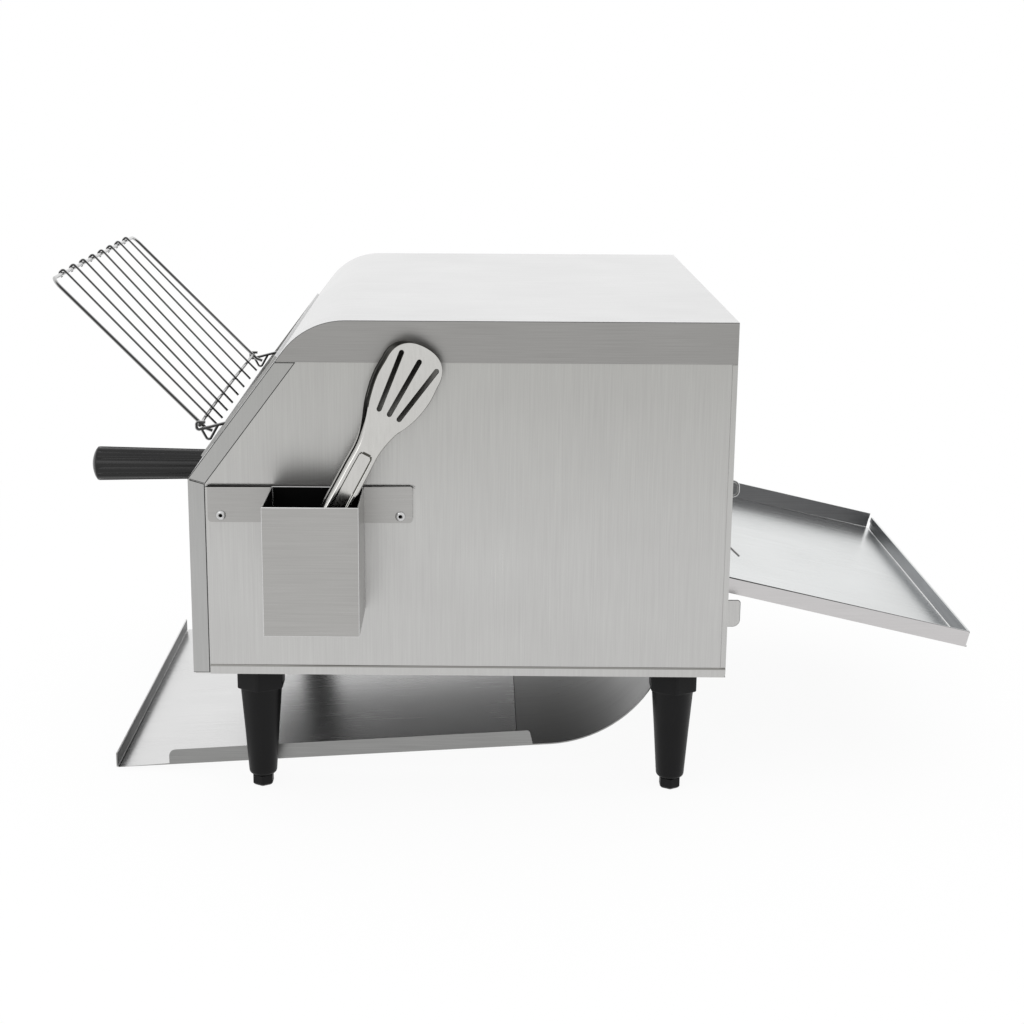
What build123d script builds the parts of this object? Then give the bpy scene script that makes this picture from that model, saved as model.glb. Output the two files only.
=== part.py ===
"""Countertop conveyor toaster: bent-sheet casing on four legs, wire feed rack at the front mouth,
mesh belt between two banks of heating tubes, toast chute below and a tray at the rear outlet.

Working frame: X across the casing (0 in its middle), Y from the front face to the rear, Z up from
the counter. The whole model is shifted at the end so that its origin is the centre of its own base.
"""

from build123d import *
from math import asin, atan, cos, degrees, pi, radians, sin, sqrt, tan
import os

os.makedirs("parts", exist_ok=True)

# ---- Driving dimensions, in millimetres and degrees ----

# Casing
body_width = 468.0
body_depth = 420.0
body_height = 282.0
leg_height = 105.5
front_height = 158.5
front_slope = 53.1
hood_radius = 60.0
hood_band = 32.0
hood_rear_lap = 12.0
front_return = 13.0
rear_return = 4.0
base_hem = 7.7
sheet = 1.0
side_flange = 12.0

# Gaps between separate pieces
seam_gap = 0.4
fit_gap = 0.3
running_gap = 0.05
hole_gap = 0.2
wire_gap = 0.12

# Mouth and feed rack
mouth_margin = 9.0
mouth_start = 17.0
mouth_length = 83.0
surround_width = 9.0
surround_proud = 2.0
rack_margin = 11.0
rack_frame_wire = 1.5
rack_inner_wire = 1.0
rack_wire_count = 8
rack_top_y = -113.0
rack_top_rise = 145.0
rack_foot_y = 1.0
rack_foot_rise = 29.5
rack_tail = 12.0
rack_bow = 7.0
rack_rod_reach = 6.5
rack_hinge_y = 32.0
rack_hinge_rise = 33.5

# Chamber
chamber_side_room = 47.0
chamber_headroom = 29.0
wall_margin = 5.0

# Conveyor
belt_pitch = 12.7
belt_teeth = 12
belt_rods = 58
belt_rod_radius = 1.0
belt_band_width = 6.0
belt_link_height = 5.0
belt_side_gap = 17.0
front_shaft_y = 38.0
shaft_drop = 7.8
shaft_radius = 6.0
roller_width = 8.0
roller_offset = 110.0
rail_strip = 1.5
rail_height = 8.0
rail_bar_radius = 3.0

# Heating
heater_radius = 4.0
upper_heater_drop = 18.0
upper_heater_count = 5
upper_heater_first = 84.0
upper_heater_step = 55.0
lower_heater_drop = 1.7
lower_heater_count = 4
lower_heater_first = 95.0
lower_heater_step = 55.0
heater_end_length = 15.0
holder_radius = 7.0
holder_length = 6.0
reflector_drop = 35.0

# Crumb tray and its handle
crumb_slot_drop = 61.5
crumb_slot_height = 25.0
crumb_rear_room = 95.0
crumb_wall = 20.0
crumb_front_lap = 3.5
crumb_front_height = 44.5
handle_rise = 19.0
handle_length = 123.0
handle_tip_radius = 15.5
handle_root_radius = 13.0
handle_flutes = 12
flute_radius = 2.4
handle_dome_radius = 29.0

# Controls
control_rise = 49.0
heat_knob_x = -60.0
speed_knob_x = -130.0
rocker_x = 10.0
lamp_x = 60.0
knob_radius = 19.0
knob_length = 20.0
knob_shaft_radius = 3.0

# Drive
motor_y = 205.0
motor_rise = 41.0
motor_sprocket_radius = 15.0
shaft_sprocket_radius = 30.0
chain_height = 4.0
fan_x = 120.0
fan_y = 190.0
fan_size = 80.0
fan_depth = 25.0

# Toast chute
chute_side_room = 7.2
chute_front_y = -76.3
chute_front_z = 2.7
chute_slope = 3.74
chute_lip = 12.7
chute_wall = 12.0
chute_wall_front = -32.0
chute_wall_rear = 271.0
chute_bend_radius = 105.0
chute_rise = 60.0
chute_back_gap = 17.0
hanger_rise = 52.0
hanger_radius = 3.0

# Rear tray
outlet_rise = 51.0
outlet_height = 98.0
tray_side_gap = 3.0
tray_slope = 12.9
tray_pivot_inset = 9.0
tray_pivot_rise = 13.9
tray_length = 218.3
tray_depth = 13.0
tray_far_rise = 3.4
tray_tail = 5.0
tray_hem = 5.0
pin_radius = 2.5
bracket_side_gap = 11.0
bracket_reach = 15.5
bracket_drop = 22.5
ledge_reach = 5.0
bracket_sheet = 1.5

# Discharge flap
flap_inset = 30.0
flap_rise = 20.0
flap_length = 62.0
flap_tail = 9.0
flap_side_gap = 9.0

# Utensil holder and tongs
holder_strip_rise = 124.7
holder_strip_height = 29.5
holder_strip_front = 15.0
holder_strip_length = 158.5
holder_box_front = 64.5
holder_box_length = 71.7
holder_box_depth = 66.0
holder_box_height = 99.5
holder_box_step = 0.7
tongs_lean = 61.6
tongs_tilt = 10.0
tongs_twist = 14.0
tongs_length = 225.0
tongs_sheet = 1.2
tongs_gap = 12.0
tongs_grip = 9.5
tongs_from_side = 17.7
tongs_from_front = 11.0
tongs_from_floor = 15.7

# Legs
leg_side_inset = 31.0
leg_front_y = 49.4
leg_rear_inset = 37.6
collar_flats = 36.4
collar_height = 20.0
leg_top_radius = 17.4
leg_end_radius = 11.3
foot_height = 9.5
foot_flats = 16.0
foot_stem_radius = 5.0
foot_stem_length = 32.0

# ---- Places that follow from them ----
half = body_width / 2
top_z = leg_height + body_height
bend_z = leg_height + front_height
slope_tan = tan(radians(front_slope))
slope_sin = sin(radians(front_slope))
slope_cos = cos(radians(front_slope))
hood_lip_z = top_z - hood_band
floor_top = leg_height + sheet
belt_radius = belt_pitch * belt_teeth / (2 * pi)
belt_straight = (belt_rods * belt_pitch - 2 * pi * belt_radius) / 2
rear_shaft_y = front_shaft_y + belt_straight
belt_inner = belt_radius - belt_rod_radius
drum_radius = belt_inner - fit_gap

chamber_half = half - chamber_side_room
wall_out = chamber_half + sheet
chamber_top = top_z - chamber_headroom
opening_half = chamber_half - sheet
mouth_half = chamber_half - mouth_margin
belt_half = chamber_half - belt_side_gap
shaft_z = bend_z - shaft_drop
reflector_z = top_z - reflector_drop
upper_heater_z = reflector_z - upper_heater_drop
lower_heater_z = shaft_z - lower_heater_drop
heater_reach = wall_out + heater_end_length

rack_half = mouth_half - rack_margin
rack_top_z = bend_z + rack_top_rise
rack_foot_z = bend_z + rack_foot_rise
rack_hinge_z = bend_z + rack_hinge_rise

crumb_slot_low = bend_z - crumb_slot_drop
crumb_slot_high = crumb_slot_low + crumb_slot_height
crumb_depth = body_depth - crumb_rear_room
crumb_front_low = crumb_slot_low - crumb_front_lap
crumb_front_high = crumb_front_low + crumb_front_height
handle_z = crumb_slot_low + handle_rise
control_z = leg_height + control_rise
motor_z = leg_height + motor_rise

chute_half = chamber_half - chute_side_room
chute_back_y = body_depth - chute_back_gap
hanger_z = leg_height + hanger_rise
outlet_low = leg_height + outlet_rise
outlet_high = outlet_low + outlet_height
tray_half = chamber_half - tray_side_gap
tray_pivot_y = body_depth - tray_pivot_inset
tray_pivot_z = outlet_low + tray_pivot_rise
bracket_x = opening_half + bracket_side_gap
flap_y = body_depth - flap_inset
flap_z = outlet_low + flap_rise
flap_half = chamber_half - flap_side_gap

holder_strip_low = leg_height + holder_strip_rise
holder_box_high = holder_strip_low + holder_strip_height - holder_box_step
holder_box_low = holder_box_high - holder_box_height
leg_x = half - leg_side_inset
leg_rear_y = body_depth - leg_rear_inset

SIDE = Plane.YZ
SLOPE = Plane(origin=(0, 0, bend_z), x_dir=(1, 0, 0), z_dir=(0, -slope_sin, slope_cos))
TRAY = Plane(
    origin=(0, tray_pivot_y, tray_pivot_z),
    x_dir=(1, 0, 0),
    z_dir=(0, sin(radians(tray_slope)), cos(radians(tray_slope))),
)


# ---- Helpers ----
def block(x0, x1, y0, y1, z0, z1):
    """Box between two corners."""
    return Pos((x0 + x1) / 2, (y0 + y1) / 2, (z0 + z1) / 2) * Box(x1 - x0, y1 - y0, z1 - z0)


def rod_x(x0, x1, y, z, radius):
    """Round bar along X."""
    return Pos((x0 + x1) / 2, y, z) * Rot(0, 90, 0) * Cylinder(radius, x1 - x0)


def rod_y(y0, y1, x, z, radius):
    """Round bar along Y."""
    return Pos(x, (y0 + y1) / 2, z) * Rot(90, 0, 0) * Cylinder(radius, y1 - y0)


def rod_z(z0, z1, x, y, radius):
    """Upright round bar."""
    return Pos(x, y, (z0 + z1) / 2) * Cylinder(radius, z1 - z0)


def side_slab(face, x0, x1):
    """Solid swept along X by a flat outline drawn in (Y, Z)."""
    return extrude(SIDE.offset(x0) * face, amount=x1 - x0, dir=(1, 0, 0))


def outline(points, radii=0):
    """Closed flat outline through its corner points, with each corner rounded by its radius."""
    return make_face(FilletPolyline(*points, radius=radii, close=True))


def strip(points, radii, thickness, side=Side.LEFT):
    """Section of a bent sheet: the line through the points, thickened to one side."""
    line = FilletPolyline(*points, radius=radii)
    return make_face(Wire(line.edges()).offset_2d(thickness, side=side, closed=True).edges())


def wire(points, bends, radius):
    """Round wire along straight runs joined by arcs."""
    path = FilletPolyline(*points, radius=bends)
    start = Plane(origin=path @ 0, z_dir=path % 0)
    return sweep(start * Circle(radius), path=path)


def both_sides(shape):
    """A piece and its mirror image on the other side of the casing."""
    return [shape, mirror(shape, about=Plane.YZ)]


def group(shapes):
    """Several separate solids kept together as one node."""
    solids = []
    for shape in shapes:
        solids.extend(shape.solids())
    return Compound(children=solids)


def casing_outline(inset=0.0):
    """Side outline of the casing, drawn inwards by a margin: upright, slope, arc, top and rear."""
    peak_y = (top_z - bend_z) / slope_tan
    face = outline(
        [(0, leg_height), (0, bend_z), (peak_y, top_z), (body_depth, top_z), (body_depth, leg_height)],
        [0, 0, hood_radius, 0, 0],
    )
    return offset(face, amount=-inset, kind=Kind.INTERSECTION) if inset else face


def casing_skin():
    """Thin band that follows the casing outline: the section of its outer sheets."""
    return casing_outline() - casing_outline(sheet)


# ---- Casing ----
def make_hood():
    skin = side_slab(casing_skin(), -half, half)
    front = block(-half, half, -1, 200, hood_lip_z, top_z + 1)
    rear = block(-half, half, 200, body_depth + 1, top_z - hood_rear_lap, top_z + 1)
    band_area = casing_outline() & Pos(body_depth / 2, top_z) * Rectangle(2 * body_depth, 2 * hood_band)
    band = side_slab(band_area, half - sheet, half)
    return (skin & front) + (skin & rear) + band + mirror(band, about=Plane.YZ)


def front_return_outline():
    """The front panel's side flange: a strip along the upright and the slope."""
    lip_y = (hood_lip_z - seam_gap - bend_z) / slope_tan
    inner_bend_z = bend_z - front_return * (1 - slope_sin) / slope_cos
    corners = [
        (0, floor_top),
        (0, bend_z),
        (lip_y, hood_lip_z - seam_gap),
        (lip_y + front_return / slope_sin, hood_lip_z - seam_gap),
        (front_return, inner_bend_z),
        (front_return, floor_top),
    ]
    mitre = outline(
        [
            (2 * sheet, bend_z - sheet),
            (2 * sheet, bend_z - sheet + seam_gap),
            (front_return + 1, inner_bend_z + seam_gap / 2),
            (front_return + 1, inner_bend_z - seam_gap / 2),
        ]
    )
    return outline(corners) - mitre


def slope_block(half_x, t0, t1, n0, n1):
    """Box on the sloping face: t runs up the slope from the bend, n stands out of it."""
    return SLOPE * block(-half_x, half_x, t0, t1, n0, n1)


def make_front_panel():
    skin = side_slab(casing_skin(), -half, half)
    zone = block(-half, half, -1, 90, floor_top, hood_lip_z - seam_gap)
    flange = side_slab(front_return_outline(), half - sheet, half)
    panel = (skin & zone) + flange + mirror(flange, about=Plane.YZ)
    mouth_end = mouth_start + mouth_length
    ring = slope_block(
        mouth_half + surround_width, mouth_start - surround_width, mouth_end + surround_width, -sheet, surround_proud
    )
    panel += ring
    panel -= slope_block(mouth_half, mouth_start, mouth_end, -2 * surround_width, 2 * surround_width)
    panel -= block(-opening_half, opening_half, -5, 5, crumb_slot_low, crumb_slot_high)
    for x in (heat_knob_x, speed_knob_x):
        panel -= rod_y(-5, 5, x, control_z, knob_shaft_radius + 1.5)
    panel -= block(
        rocker_x - rocker_body_half_x - hole_gap,
        rocker_x + rocker_body_half_x + hole_gap,
        -5,
        5,
        control_z - rocker_body_half_z - hole_gap,
        control_z + rocker_body_half_z + hole_gap,
    )
    panel -= rod_y(-5, 5, lamp_x, control_z, lamp_radius + hole_gap)
    return panel


def make_side_panel(right):
    face = casing_outline(sheet)
    panel = side_slab(face, half - 2 * sheet, half - sheet)
    inner_x = half - 2 * sheet
    panel += block(
        inner_x - side_flange, inner_x, body_depth - 2 * sheet, body_depth - sheet, floor_top, top_z - hood_rear_lap
    )
    for z in rear_screw_z:
        panel -= rod_y(body_depth - 5, body_depth + 5, rear_screw_x, z, screw_radius + hole_gap)
    if right:
        for y in rivet_y:
            panel -= rod_x(half - 10, half + 5, y, rivet_z, rivet_radius + hole_gap)
        return panel
    for column in range(vent_columns):
        y = vent_first_y + column * vent_step
        for row in range(vent_rows):
            z = vent_first_z + row * (vent_height + vent_row_gap)
            slot = SlotCenterToCenter(vent_height - vent_width, vent_width, rotation=90)
            panel -= side_slab(Pos(y, z + vent_height / 2) * slot, half - 10, half + 5)
    return mirror(panel, about=Plane.YZ)


def make_base_pan():
    front = sheet + fit_gap
    pan = block(-half, half, front, body_depth, leg_height, floor_top)
    hem_face = outline(
        [
            (front_return + seam_gap, leg_height),
            (front_return + seam_gap, leg_height + base_hem),
            (body_depth, leg_height + base_hem),
            (body_depth, leg_height),
        ],
        [0, 0, 0, 3],
    )
    pan -= block(-half - 1, -half + sheet, 0, front_return + seam_gap, 0, top_z)
    pan -= block(half - sheet, half + 1, 0, front_return + seam_gap, 0, top_z)
    for hem in both_sides(side_slab(hem_face, half - sheet, half)):
        pan += hem
    pan -= block(-drop_half, drop_half, drop_front, drop_rear, 0, top_z)
    for angle in range(0, 360, 45):
        slot = SlotCenterToCenter(18, 5)
        vent = Pos(fan_x, fan_y) * Rot(0, 0, angle) * Pos(22, 0) * slot
        pan -= extrude(Plane.XY.offset(leg_height - 5) * vent, amount=10, dir=(0, 0, 1))
    for x in (-leg_x, leg_x):
        for y in (leg_front_y, leg_rear_y):
            pan -= rod_z(leg_height - 5, leg_height + 5, x, y, leg_bolt_radius + hole_gap)
    return pan


def make_rear_panel():
    bottom = floor_top + fit_gap
    top = top_z - hood_rear_lap - seam_gap
    panel = block(-half, half, body_depth - sheet, body_depth, bottom, top)
    corner = block(half - sheet, half + 1, body_depth - 5, body_depth + 1, 0, leg_height + base_hem + seam_gap)
    upper = block(half - sheet, half + 1, body_depth - 5, body_depth + 1, hood_lip_z - seam_gap, top_z)
    lip = block(
        half - sheet, half, body_depth - rear_return, body_depth, leg_height + base_hem + seam_gap, hood_lip_z - seam_gap
    )
    for piece in both_sides(corner) + both_sides(upper):
        panel -= piece
    for piece in both_sides(lip):
        panel += piece
    panel -= block(-opening_half, opening_half, body_depth - 5, body_depth + 5, outlet_low, outlet_high)
    panel -= rod_y(body_depth - 5, body_depth + 5, gland_x, gland_z, gland_radius + hole_gap)
    for x in (-rear_screw_x, rear_screw_x):
        for z in rear_screw_z:
            sink = Pos(x, body_depth - sheet / 2, z) * Rot(-90, 0, 0)
            panel -= sink * Cone(screw_radius + hole_gap, screw_head_radius + hole_gap, sheet)
    for row in range(rear_vent_count):
        z = rear_vent_z + row * rear_vent_step
        slot = Pos(rear_vent_x, z) * SlotCenterToCenter(rear_vent_length, vent_width)
        cut = extrude(Plane.XZ.offset(-body_depth - 5) * slot, amount=10, dir=(0, -1, 0))
        panel -= cut
    return panel


def make_casing_screws():
    """Countersunk screws, flush with the rear panel, each with a cross recess."""
    screws = []
    for x in (-rear_screw_x, rear_screw_x):
        for z in rear_screw_z:
            shank = rod_y(body_depth - 6, body_depth - sheet / 2, x, z, screw_radius)
            cone = Pos(x, body_depth - sheet / 2, z) * Rot(-90, 0, 0) * Cone(screw_radius, screw_head_radius, sheet)
            across = block(x - 2.0, x + 2.0, body_depth - 0.4, body_depth + 1, z - 0.4, z + 0.4)
            upright = block(x - 0.4, x + 0.4, body_depth - 0.4, body_depth + 1, z - 2.0, z + 2.0)
            screws.append(shank + cone - across - upright)
    return group(screws)


# ---- Chamber ----
def make_chamber_wall(left):
    rear = body_depth - 2 * sheet
    upper = offset(casing_outline(), amount=-wall_margin, kind=Kind.INTERSECTION)
    half_up = (floor_top + bend_z) / 2
    half_back = body_depth / 2
    foot = outline([(wall_margin, floor_top), (wall_margin, half_up), (rear, half_up), (rear, floor_top)])
    back = outline([(half_back, floor_top), (half_back, chamber_top), (rear, chamber_top), (rear, floor_top)])
    zone = outline([(0, floor_top), (0, chamber_top), (rear, chamber_top), (rear, floor_top)])
    face = (upper + foot + back) & zone
    wall = side_slab(face, chamber_half, wall_out)
    wall += block(chamber_half, wall_out + side_flange, leg_front_y + 20, drop_front, floor_top, floor_top + sheet)
    for y in (front_shaft_y, rear_shaft_y):
        wall -= rod_x(chamber_half - 5, wall_out + 5, y, shaft_z, bush_radius + hole_gap)
    for y, z in heater_places():
        wall -= rod_x(chamber_half - 5, wall_out + 5, y, z, holder_radius - 2 + hole_gap)
    if left:
        wall -= rod_x(chamber_half - 5, wall_out + 5, motor_y, motor_z, motor_shaft_radius + 1)
        return mirror(wall, about=Plane.YZ)
    return wall


def heater_places():
    """Centres of the heating tubes, upper bank first, as (Y, Z)."""
    upper = [(upper_heater_first + i * upper_heater_step, upper_heater_z) for i in range(upper_heater_count)]
    lower = [(lower_heater_first + i * lower_heater_step, lower_heater_z) for i in range(lower_heater_count)]
    return upper + lower


def make_top_reflector():
    section = strip(
        [
            (72, reflector_z - 12),
            (86, reflector_z),
            (reflector_rear_y - 52, reflector_z),
            (reflector_rear_y, reflector_z - 45),
            (reflector_rear_y, outlet_high + 4),
        ],
        [4, 6, 6],
        sheet,
        Side.RIGHT,
    )
    return side_slab(section, -chamber_half + fit_gap, chamber_half - fit_gap)


def make_lower_reflector():
    z = shaft_z - belt_inner + 8
    front = front_shaft_y + drum_radius + 6
    rear = rear_shaft_y - drum_radius - 6
    section = strip([(front, z + 7), (front + 4, z), (rear - 4, z), (rear, z + 7)], [2, 2], sheet)
    return side_slab(section, -chamber_half + fit_gap, chamber_half - fit_gap)


def make_lower_partition():
    z = crumb_slot_low - 1.5
    section = strip([(sheet + 2, z), (drop_front - 2, z), (drop_front - 2, floor_top)], [3], sheet, Side.RIGHT)
    return side_slab(section, -chamber_half + fit_gap, chamber_half - fit_gap)


# ---- Conveyor ----
def belt_point(distance):
    """Point on the belt's loop at a distance along it, as (Y, Z)."""
    arc = pi * belt_radius
    lap = distance % (2 * belt_straight + 2 * arc)
    if lap < belt_straight:
        return front_shaft_y + lap, shaft_z + belt_radius
    lap -= belt_straight
    if lap < arc:
        angle = lap / belt_radius
        return rear_shaft_y + belt_radius * sin(angle), shaft_z + belt_radius * cos(angle)
    lap -= arc
    if lap < belt_straight:
        return rear_shaft_y - lap, shaft_z - belt_radius
    angle = (lap - belt_straight) / belt_radius
    return front_shaft_y - belt_radius * sin(angle), shaft_z - belt_radius * cos(angle)


def loop_face(radius):
    """Stadium outline around both shafts."""
    middle = (front_shaft_y + rear_shaft_y) / 2
    return Pos(middle, shaft_z) * SlotCenterToCenter(belt_straight, 2 * radius)


def make_conveyor_belt():
    """Cross rods of the belt at their pitch around the loop."""
    rod_half = belt_half - belt_band_width
    return group(
        [rod_x(-rod_half, rod_half, *belt_point(i * belt_pitch), belt_rod_radius) for i in range(belt_rods)]
    )


def make_belt_side_links():
    """The links at both edges of the belt, drawn as one closed band each."""
    ring = loop_face(belt_radius + belt_link_height / 2) - loop_face(belt_inner)
    return group(both_sides(side_slab(ring, belt_half - belt_band_width, belt_half)))


def make_idler_shaft():
    return rod_x(-shaft_reach, shaft_reach, front_shaft_y, shaft_z, shaft_radius)


def make_drive_shaft():
    return rod_x(-shaft_reach - 12, shaft_reach, rear_shaft_y, shaft_z, shaft_radius)


def make_idler_rollers():
    rollers = []
    for x in (-roller_offset, 0, roller_offset):
        drum = rod_x(x - roller_width, x + roller_width, front_shaft_y, shaft_z, drum_radius)
        rollers.append(drum - rod_x(x - 50, x + 50, front_shaft_y, shaft_z, shaft_radius + running_gap))
    return group(rollers)


def toothed_face(tip, root, teeth):
    """Sprocket outline: a disc with round gaps between its teeth."""
    face = Circle(tip)
    gap_radius = pi * tip / teeth * 0.42
    for i in range(teeth):
        face -= Rot(0, 0, (i + 0.5) * 360 / teeth) * Pos(root + gap_radius, 0) * Circle(gap_radius)
    return face


def sprocket(x0, x1, y, z, tip, root, teeth, bore):
    """Toothed wheel on an axis along X."""
    face = toothed_face(tip, root, teeth)
    if bore:
        face -= Circle(bore)
    return Pos(0, y, z) * side_slab(face, x0, x1)


def make_drive_sprockets():
    wheels = []
    for x in (-roller_offset, 0, roller_offset):
        wheels.append(
            sprocket(x - 3, x + 3, rear_shaft_y, shaft_z, drum_radius, drum_radius - 3.5, belt_teeth, shaft_radius + running_gap)
        )
    return group(wheels)


def make_shaft_bushes():
    bushes = []
    for y in (front_shaft_y, rear_shaft_y):
        barrel = rod_x(chamber_half - 4, wall_out + fit_gap / 2, y, shaft_z, bush_radius)
        flange = rod_x(wall_out, wall_out + 3, y, shaft_z, bush_radius + 3)
        bush = barrel + flange - rod_x(chamber_half - 9, wall_out + 9, y, shaft_z, shaft_radius + running_gap)
        bushes.extend(both_sides(bush))
    return group(bushes)


def make_belt_rails():
    under = shaft_z + belt_inner - fit_gap
    front = front_shaft_y + drum_radius + 4
    rear = rear_shaft_y - drum_radius - 4
    rails = None
    for x in (-roller_offset, 0, roller_offset):
        strip_bar = block(x - rail_strip / 2, x + rail_strip / 2, front, rear, under - rail_height, under)
        rails = strip_bar if rails is None else rails + strip_bar
    for y in (front + 8, rear - 8):
        rails += rod_x(-chamber_half, chamber_half, y, under - rail_height - rail_bar_radius + 0.6, rail_bar_radius)
    return rails


# ---- Drive ----
def make_gearmotor():
    gearbox = block(-chamber_half, -chamber_half + 28, motor_y - 18, motor_y + 40, motor_z - 26, motor_z + 28)
    can = rod_x(-chamber_half + 28, -chamber_half + 78, motor_y + 14, motor_z, 25)
    cap = rod_x(-chamber_half + 78, -chamber_half + 82, motor_y + 14, motor_z, 18)
    bore = rod_x(-chamber_half - 5, -chamber_half + 12, motor_y, motor_z, motor_shaft_radius + running_gap)
    return gearbox + can + cap - bore


def make_motor_sprocket():
    shaft = rod_x(-chain_x - 5, -chamber_half + 10, motor_y, motor_z, motor_shaft_radius)
    wheel = sprocket(
        -chain_x - 1.5, -chain_x + 1.5, motor_y, motor_z, motor_sprocket_radius, motor_sprocket_radius - 3, 12, 0
    )
    return shaft + wheel


def make_shaft_sprocket():
    return sprocket(
        -chain_x - 1.5,
        -chain_x + 1.5,
        rear_shaft_y,
        shaft_z,
        shaft_sprocket_radius,
        shaft_sprocket_radius - 3,
        24,
        shaft_radius + running_gap,
    )


def make_drive_chain():
    def around(extra):
        small = Pos(motor_y, motor_z) * Circle(motor_sprocket_radius + extra)
        large = Pos(rear_shaft_y, shaft_z) * Circle(shaft_sprocket_radius + extra)
        return make_hull((Sketch() + [small, large]).edges())

    ring = around(fit_gap + chain_height) - around(fit_gap)
    return side_slab(ring, -chain_x - 2.5, -chain_x + 2.5)


def make_fan_frame():
    size = fan_size / 2
    frame = Pos(fan_x, fan_y, floor_top + fan_depth / 2) * Box(fan_size, fan_size, fan_depth)
    frame = fillet(frame.edges().filter_by(Axis.Z), 4)
    frame -= rod_z(floor_top - 1, floor_top + fan_depth + 1, fan_x, fan_y, size - 2.5)
    hub = rod_z(floor_top, floor_top + 3, fan_x, fan_y, 16)
    spokes = None
    for angle in (45, 135, 225, 315):
        bar = Pos(fan_x, fan_y, floor_top + 1.5) * Rot(0, 0, angle) * Pos(27, 0, 0) * Box(26, 4, 3)
        spokes = bar if spokes is None else spokes + bar
    pin = rod_z(floor_top + 3, floor_top + fan_depth - 5, fan_x, fan_y, fan_pin_radius)
    return frame + hub + spokes + pin


def make_fan_rotor():
    base = floor_top + 3 + fit_gap
    hub = rod_z(base, base + 18, fan_x, fan_y, 15)
    for i in range(8):
        blade = Rot(0, 0, i * 45) * Pos(24.5, 0, 0) * Rot(35, 0, 0) * Box(21, 15, 1.4)
        hub += Pos(fan_x, fan_y, base + 9) * blade
    return hub - rod_z(base - 1, floor_top + fan_depth - 4.5, fan_x, fan_y, fan_pin_radius + running_gap)


# ---- Heating ----
def make_heaters(places):
    return group([rod_x(-heater_reach, heater_reach, y, z, heater_radius) for y, z in places])


def make_heater_holders():
    rings = []
    for y, z in heater_places():
        ring = rod_x(wall_out + fit_gap / 3, wall_out + holder_length, y, z, holder_radius)
        ring += rod_x(chamber_half - 1, wall_out + 1, y, z, holder_radius - 2)
        ring -= rod_x(chamber_half - 5, wall_out + holder_length + 5, y, z, heater_radius + hole_gap)
        rings.extend(both_sides(ring))
    return group(rings)


# ---- Crumb tray ----
def make_crumb_tray():
    half_x = chamber_half - 2.5
    low = crumb_slot_low + 1.5
    front = -fit_gap
    tray = block(-half_x, half_x, front, crumb_depth, low, low + crumb_wall)
    tray -= block(-half_x + sheet, half_x - sheet, front + sheet, crumb_depth - sheet, low + sheet, low + 50)
    tray += block(
        -half_x - 5, half_x + 5, front - 1.2, front, crumb_front_low, crumb_front_high
    )
    return tray


def make_crumb_tray_handle():
    """Tapered round grip with lengthwise flutes and a domed end, drawn upright and laid forward."""
    taper = degrees(atan((handle_tip_radius - handle_root_radius) / handle_length))
    middle = (handle_root_radius + handle_tip_radius) / 2
    grip = Cone(handle_root_radius, handle_tip_radius, handle_length)
    grip &= Pos(0, 0, handle_length / 2 - handle_dome_radius) * Sphere(handle_dome_radius) + Pos(
        0, 0, -handle_dome_radius
    ) * Cylinder(2 * handle_tip_radius, handle_length)
    for i in range(handle_flutes):
        groove = Rot(0, 0, i * 360 / handle_flutes) * Pos(middle + 1.5, 0, -4) * Rot(0, taper, 0)
        grip -= groove * Cylinder(flute_radius, handle_length - 26)
    face_y = -fit_gap - 1.2
    return Pos(0, face_y - handle_length / 2, handle_z) * Rot(90, 0, 0) * grip


def make_crumb_tray_runners():
    low = crumb_slot_low + 1.5 - fit_gap
    ledge = block(chamber_half - 12, chamber_half, 12, crumb_depth - 10, low - 1.2, low)
    side = block(chamber_half - 1.2, chamber_half, 12, crumb_depth - 10, low, low + 8)
    return group(both_sides(ledge + side))


# ---- Controls ----
def make_knob(x):
    base_y = -1.2
    skirt = rod_y(base_y - 4, base_y, x, control_z, knob_radius)
    grip = rod_y(base_y - knob_length, base_y - 4, x, control_z, knob_radius - 3.5)
    grip = fillet(grip.faces().sort_by(Axis.Y)[0].edges(), 1.5)
    ridge = block(x - 3, x + 3, base_y - knob_length - 2, base_y - 5, control_z - 13, control_z + knob_radius - 3)
    stem = rod_y(base_y, sheet + 13, x, control_z, knob_shaft_radius)
    return skirt + grip + ridge + stem


def make_heat_selector():
    body = block(heat_knob_x - 17, heat_knob_x + 17, sheet, sheet + 26, control_z - 17, control_z + 17)
    return body - rod_y(0, sheet + 15, heat_knob_x, control_z, knob_shaft_radius + running_gap)


def make_speed_control():
    body = rod_y(sheet, sheet + 18, speed_knob_x, control_z, 14)
    board = block(speed_knob_x - 24, speed_knob_x + 24, sheet + 18, sheet + 19.6, control_z - 20, control_z + 20)
    return body + board - rod_y(0, sheet + 15, speed_knob_x, control_z, knob_shaft_radius + running_gap)


def make_switch_housing():
    bx, bz = rocker_body_half_x, rocker_body_half_z
    bezel = block(rocker_x - bx - 1.8, rocker_x + bx + 1.8, -1.6, 0, control_z - bz - 1.8, control_z + bz + 1.8)
    body = block(rocker_x - bx, rocker_x + bx, -0.5, 24, control_z - bz, control_z + bz)
    pocket = block(rocker_x - bx + 2, rocker_x + bx - 2, -3, 12, control_z - bz + 2, control_z + bz - 2)
    pin = rod_x(rocker_x - bx - 5, rocker_x + bx + 5, rocker_pivot_y, control_z, rocker_pin_radius + running_gap)
    inner = block(rocker_x - bx + 1, rocker_x + bx - 1, -5, 30, 0, top_z)
    return bezel + body - pocket - (pin & inner)


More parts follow.
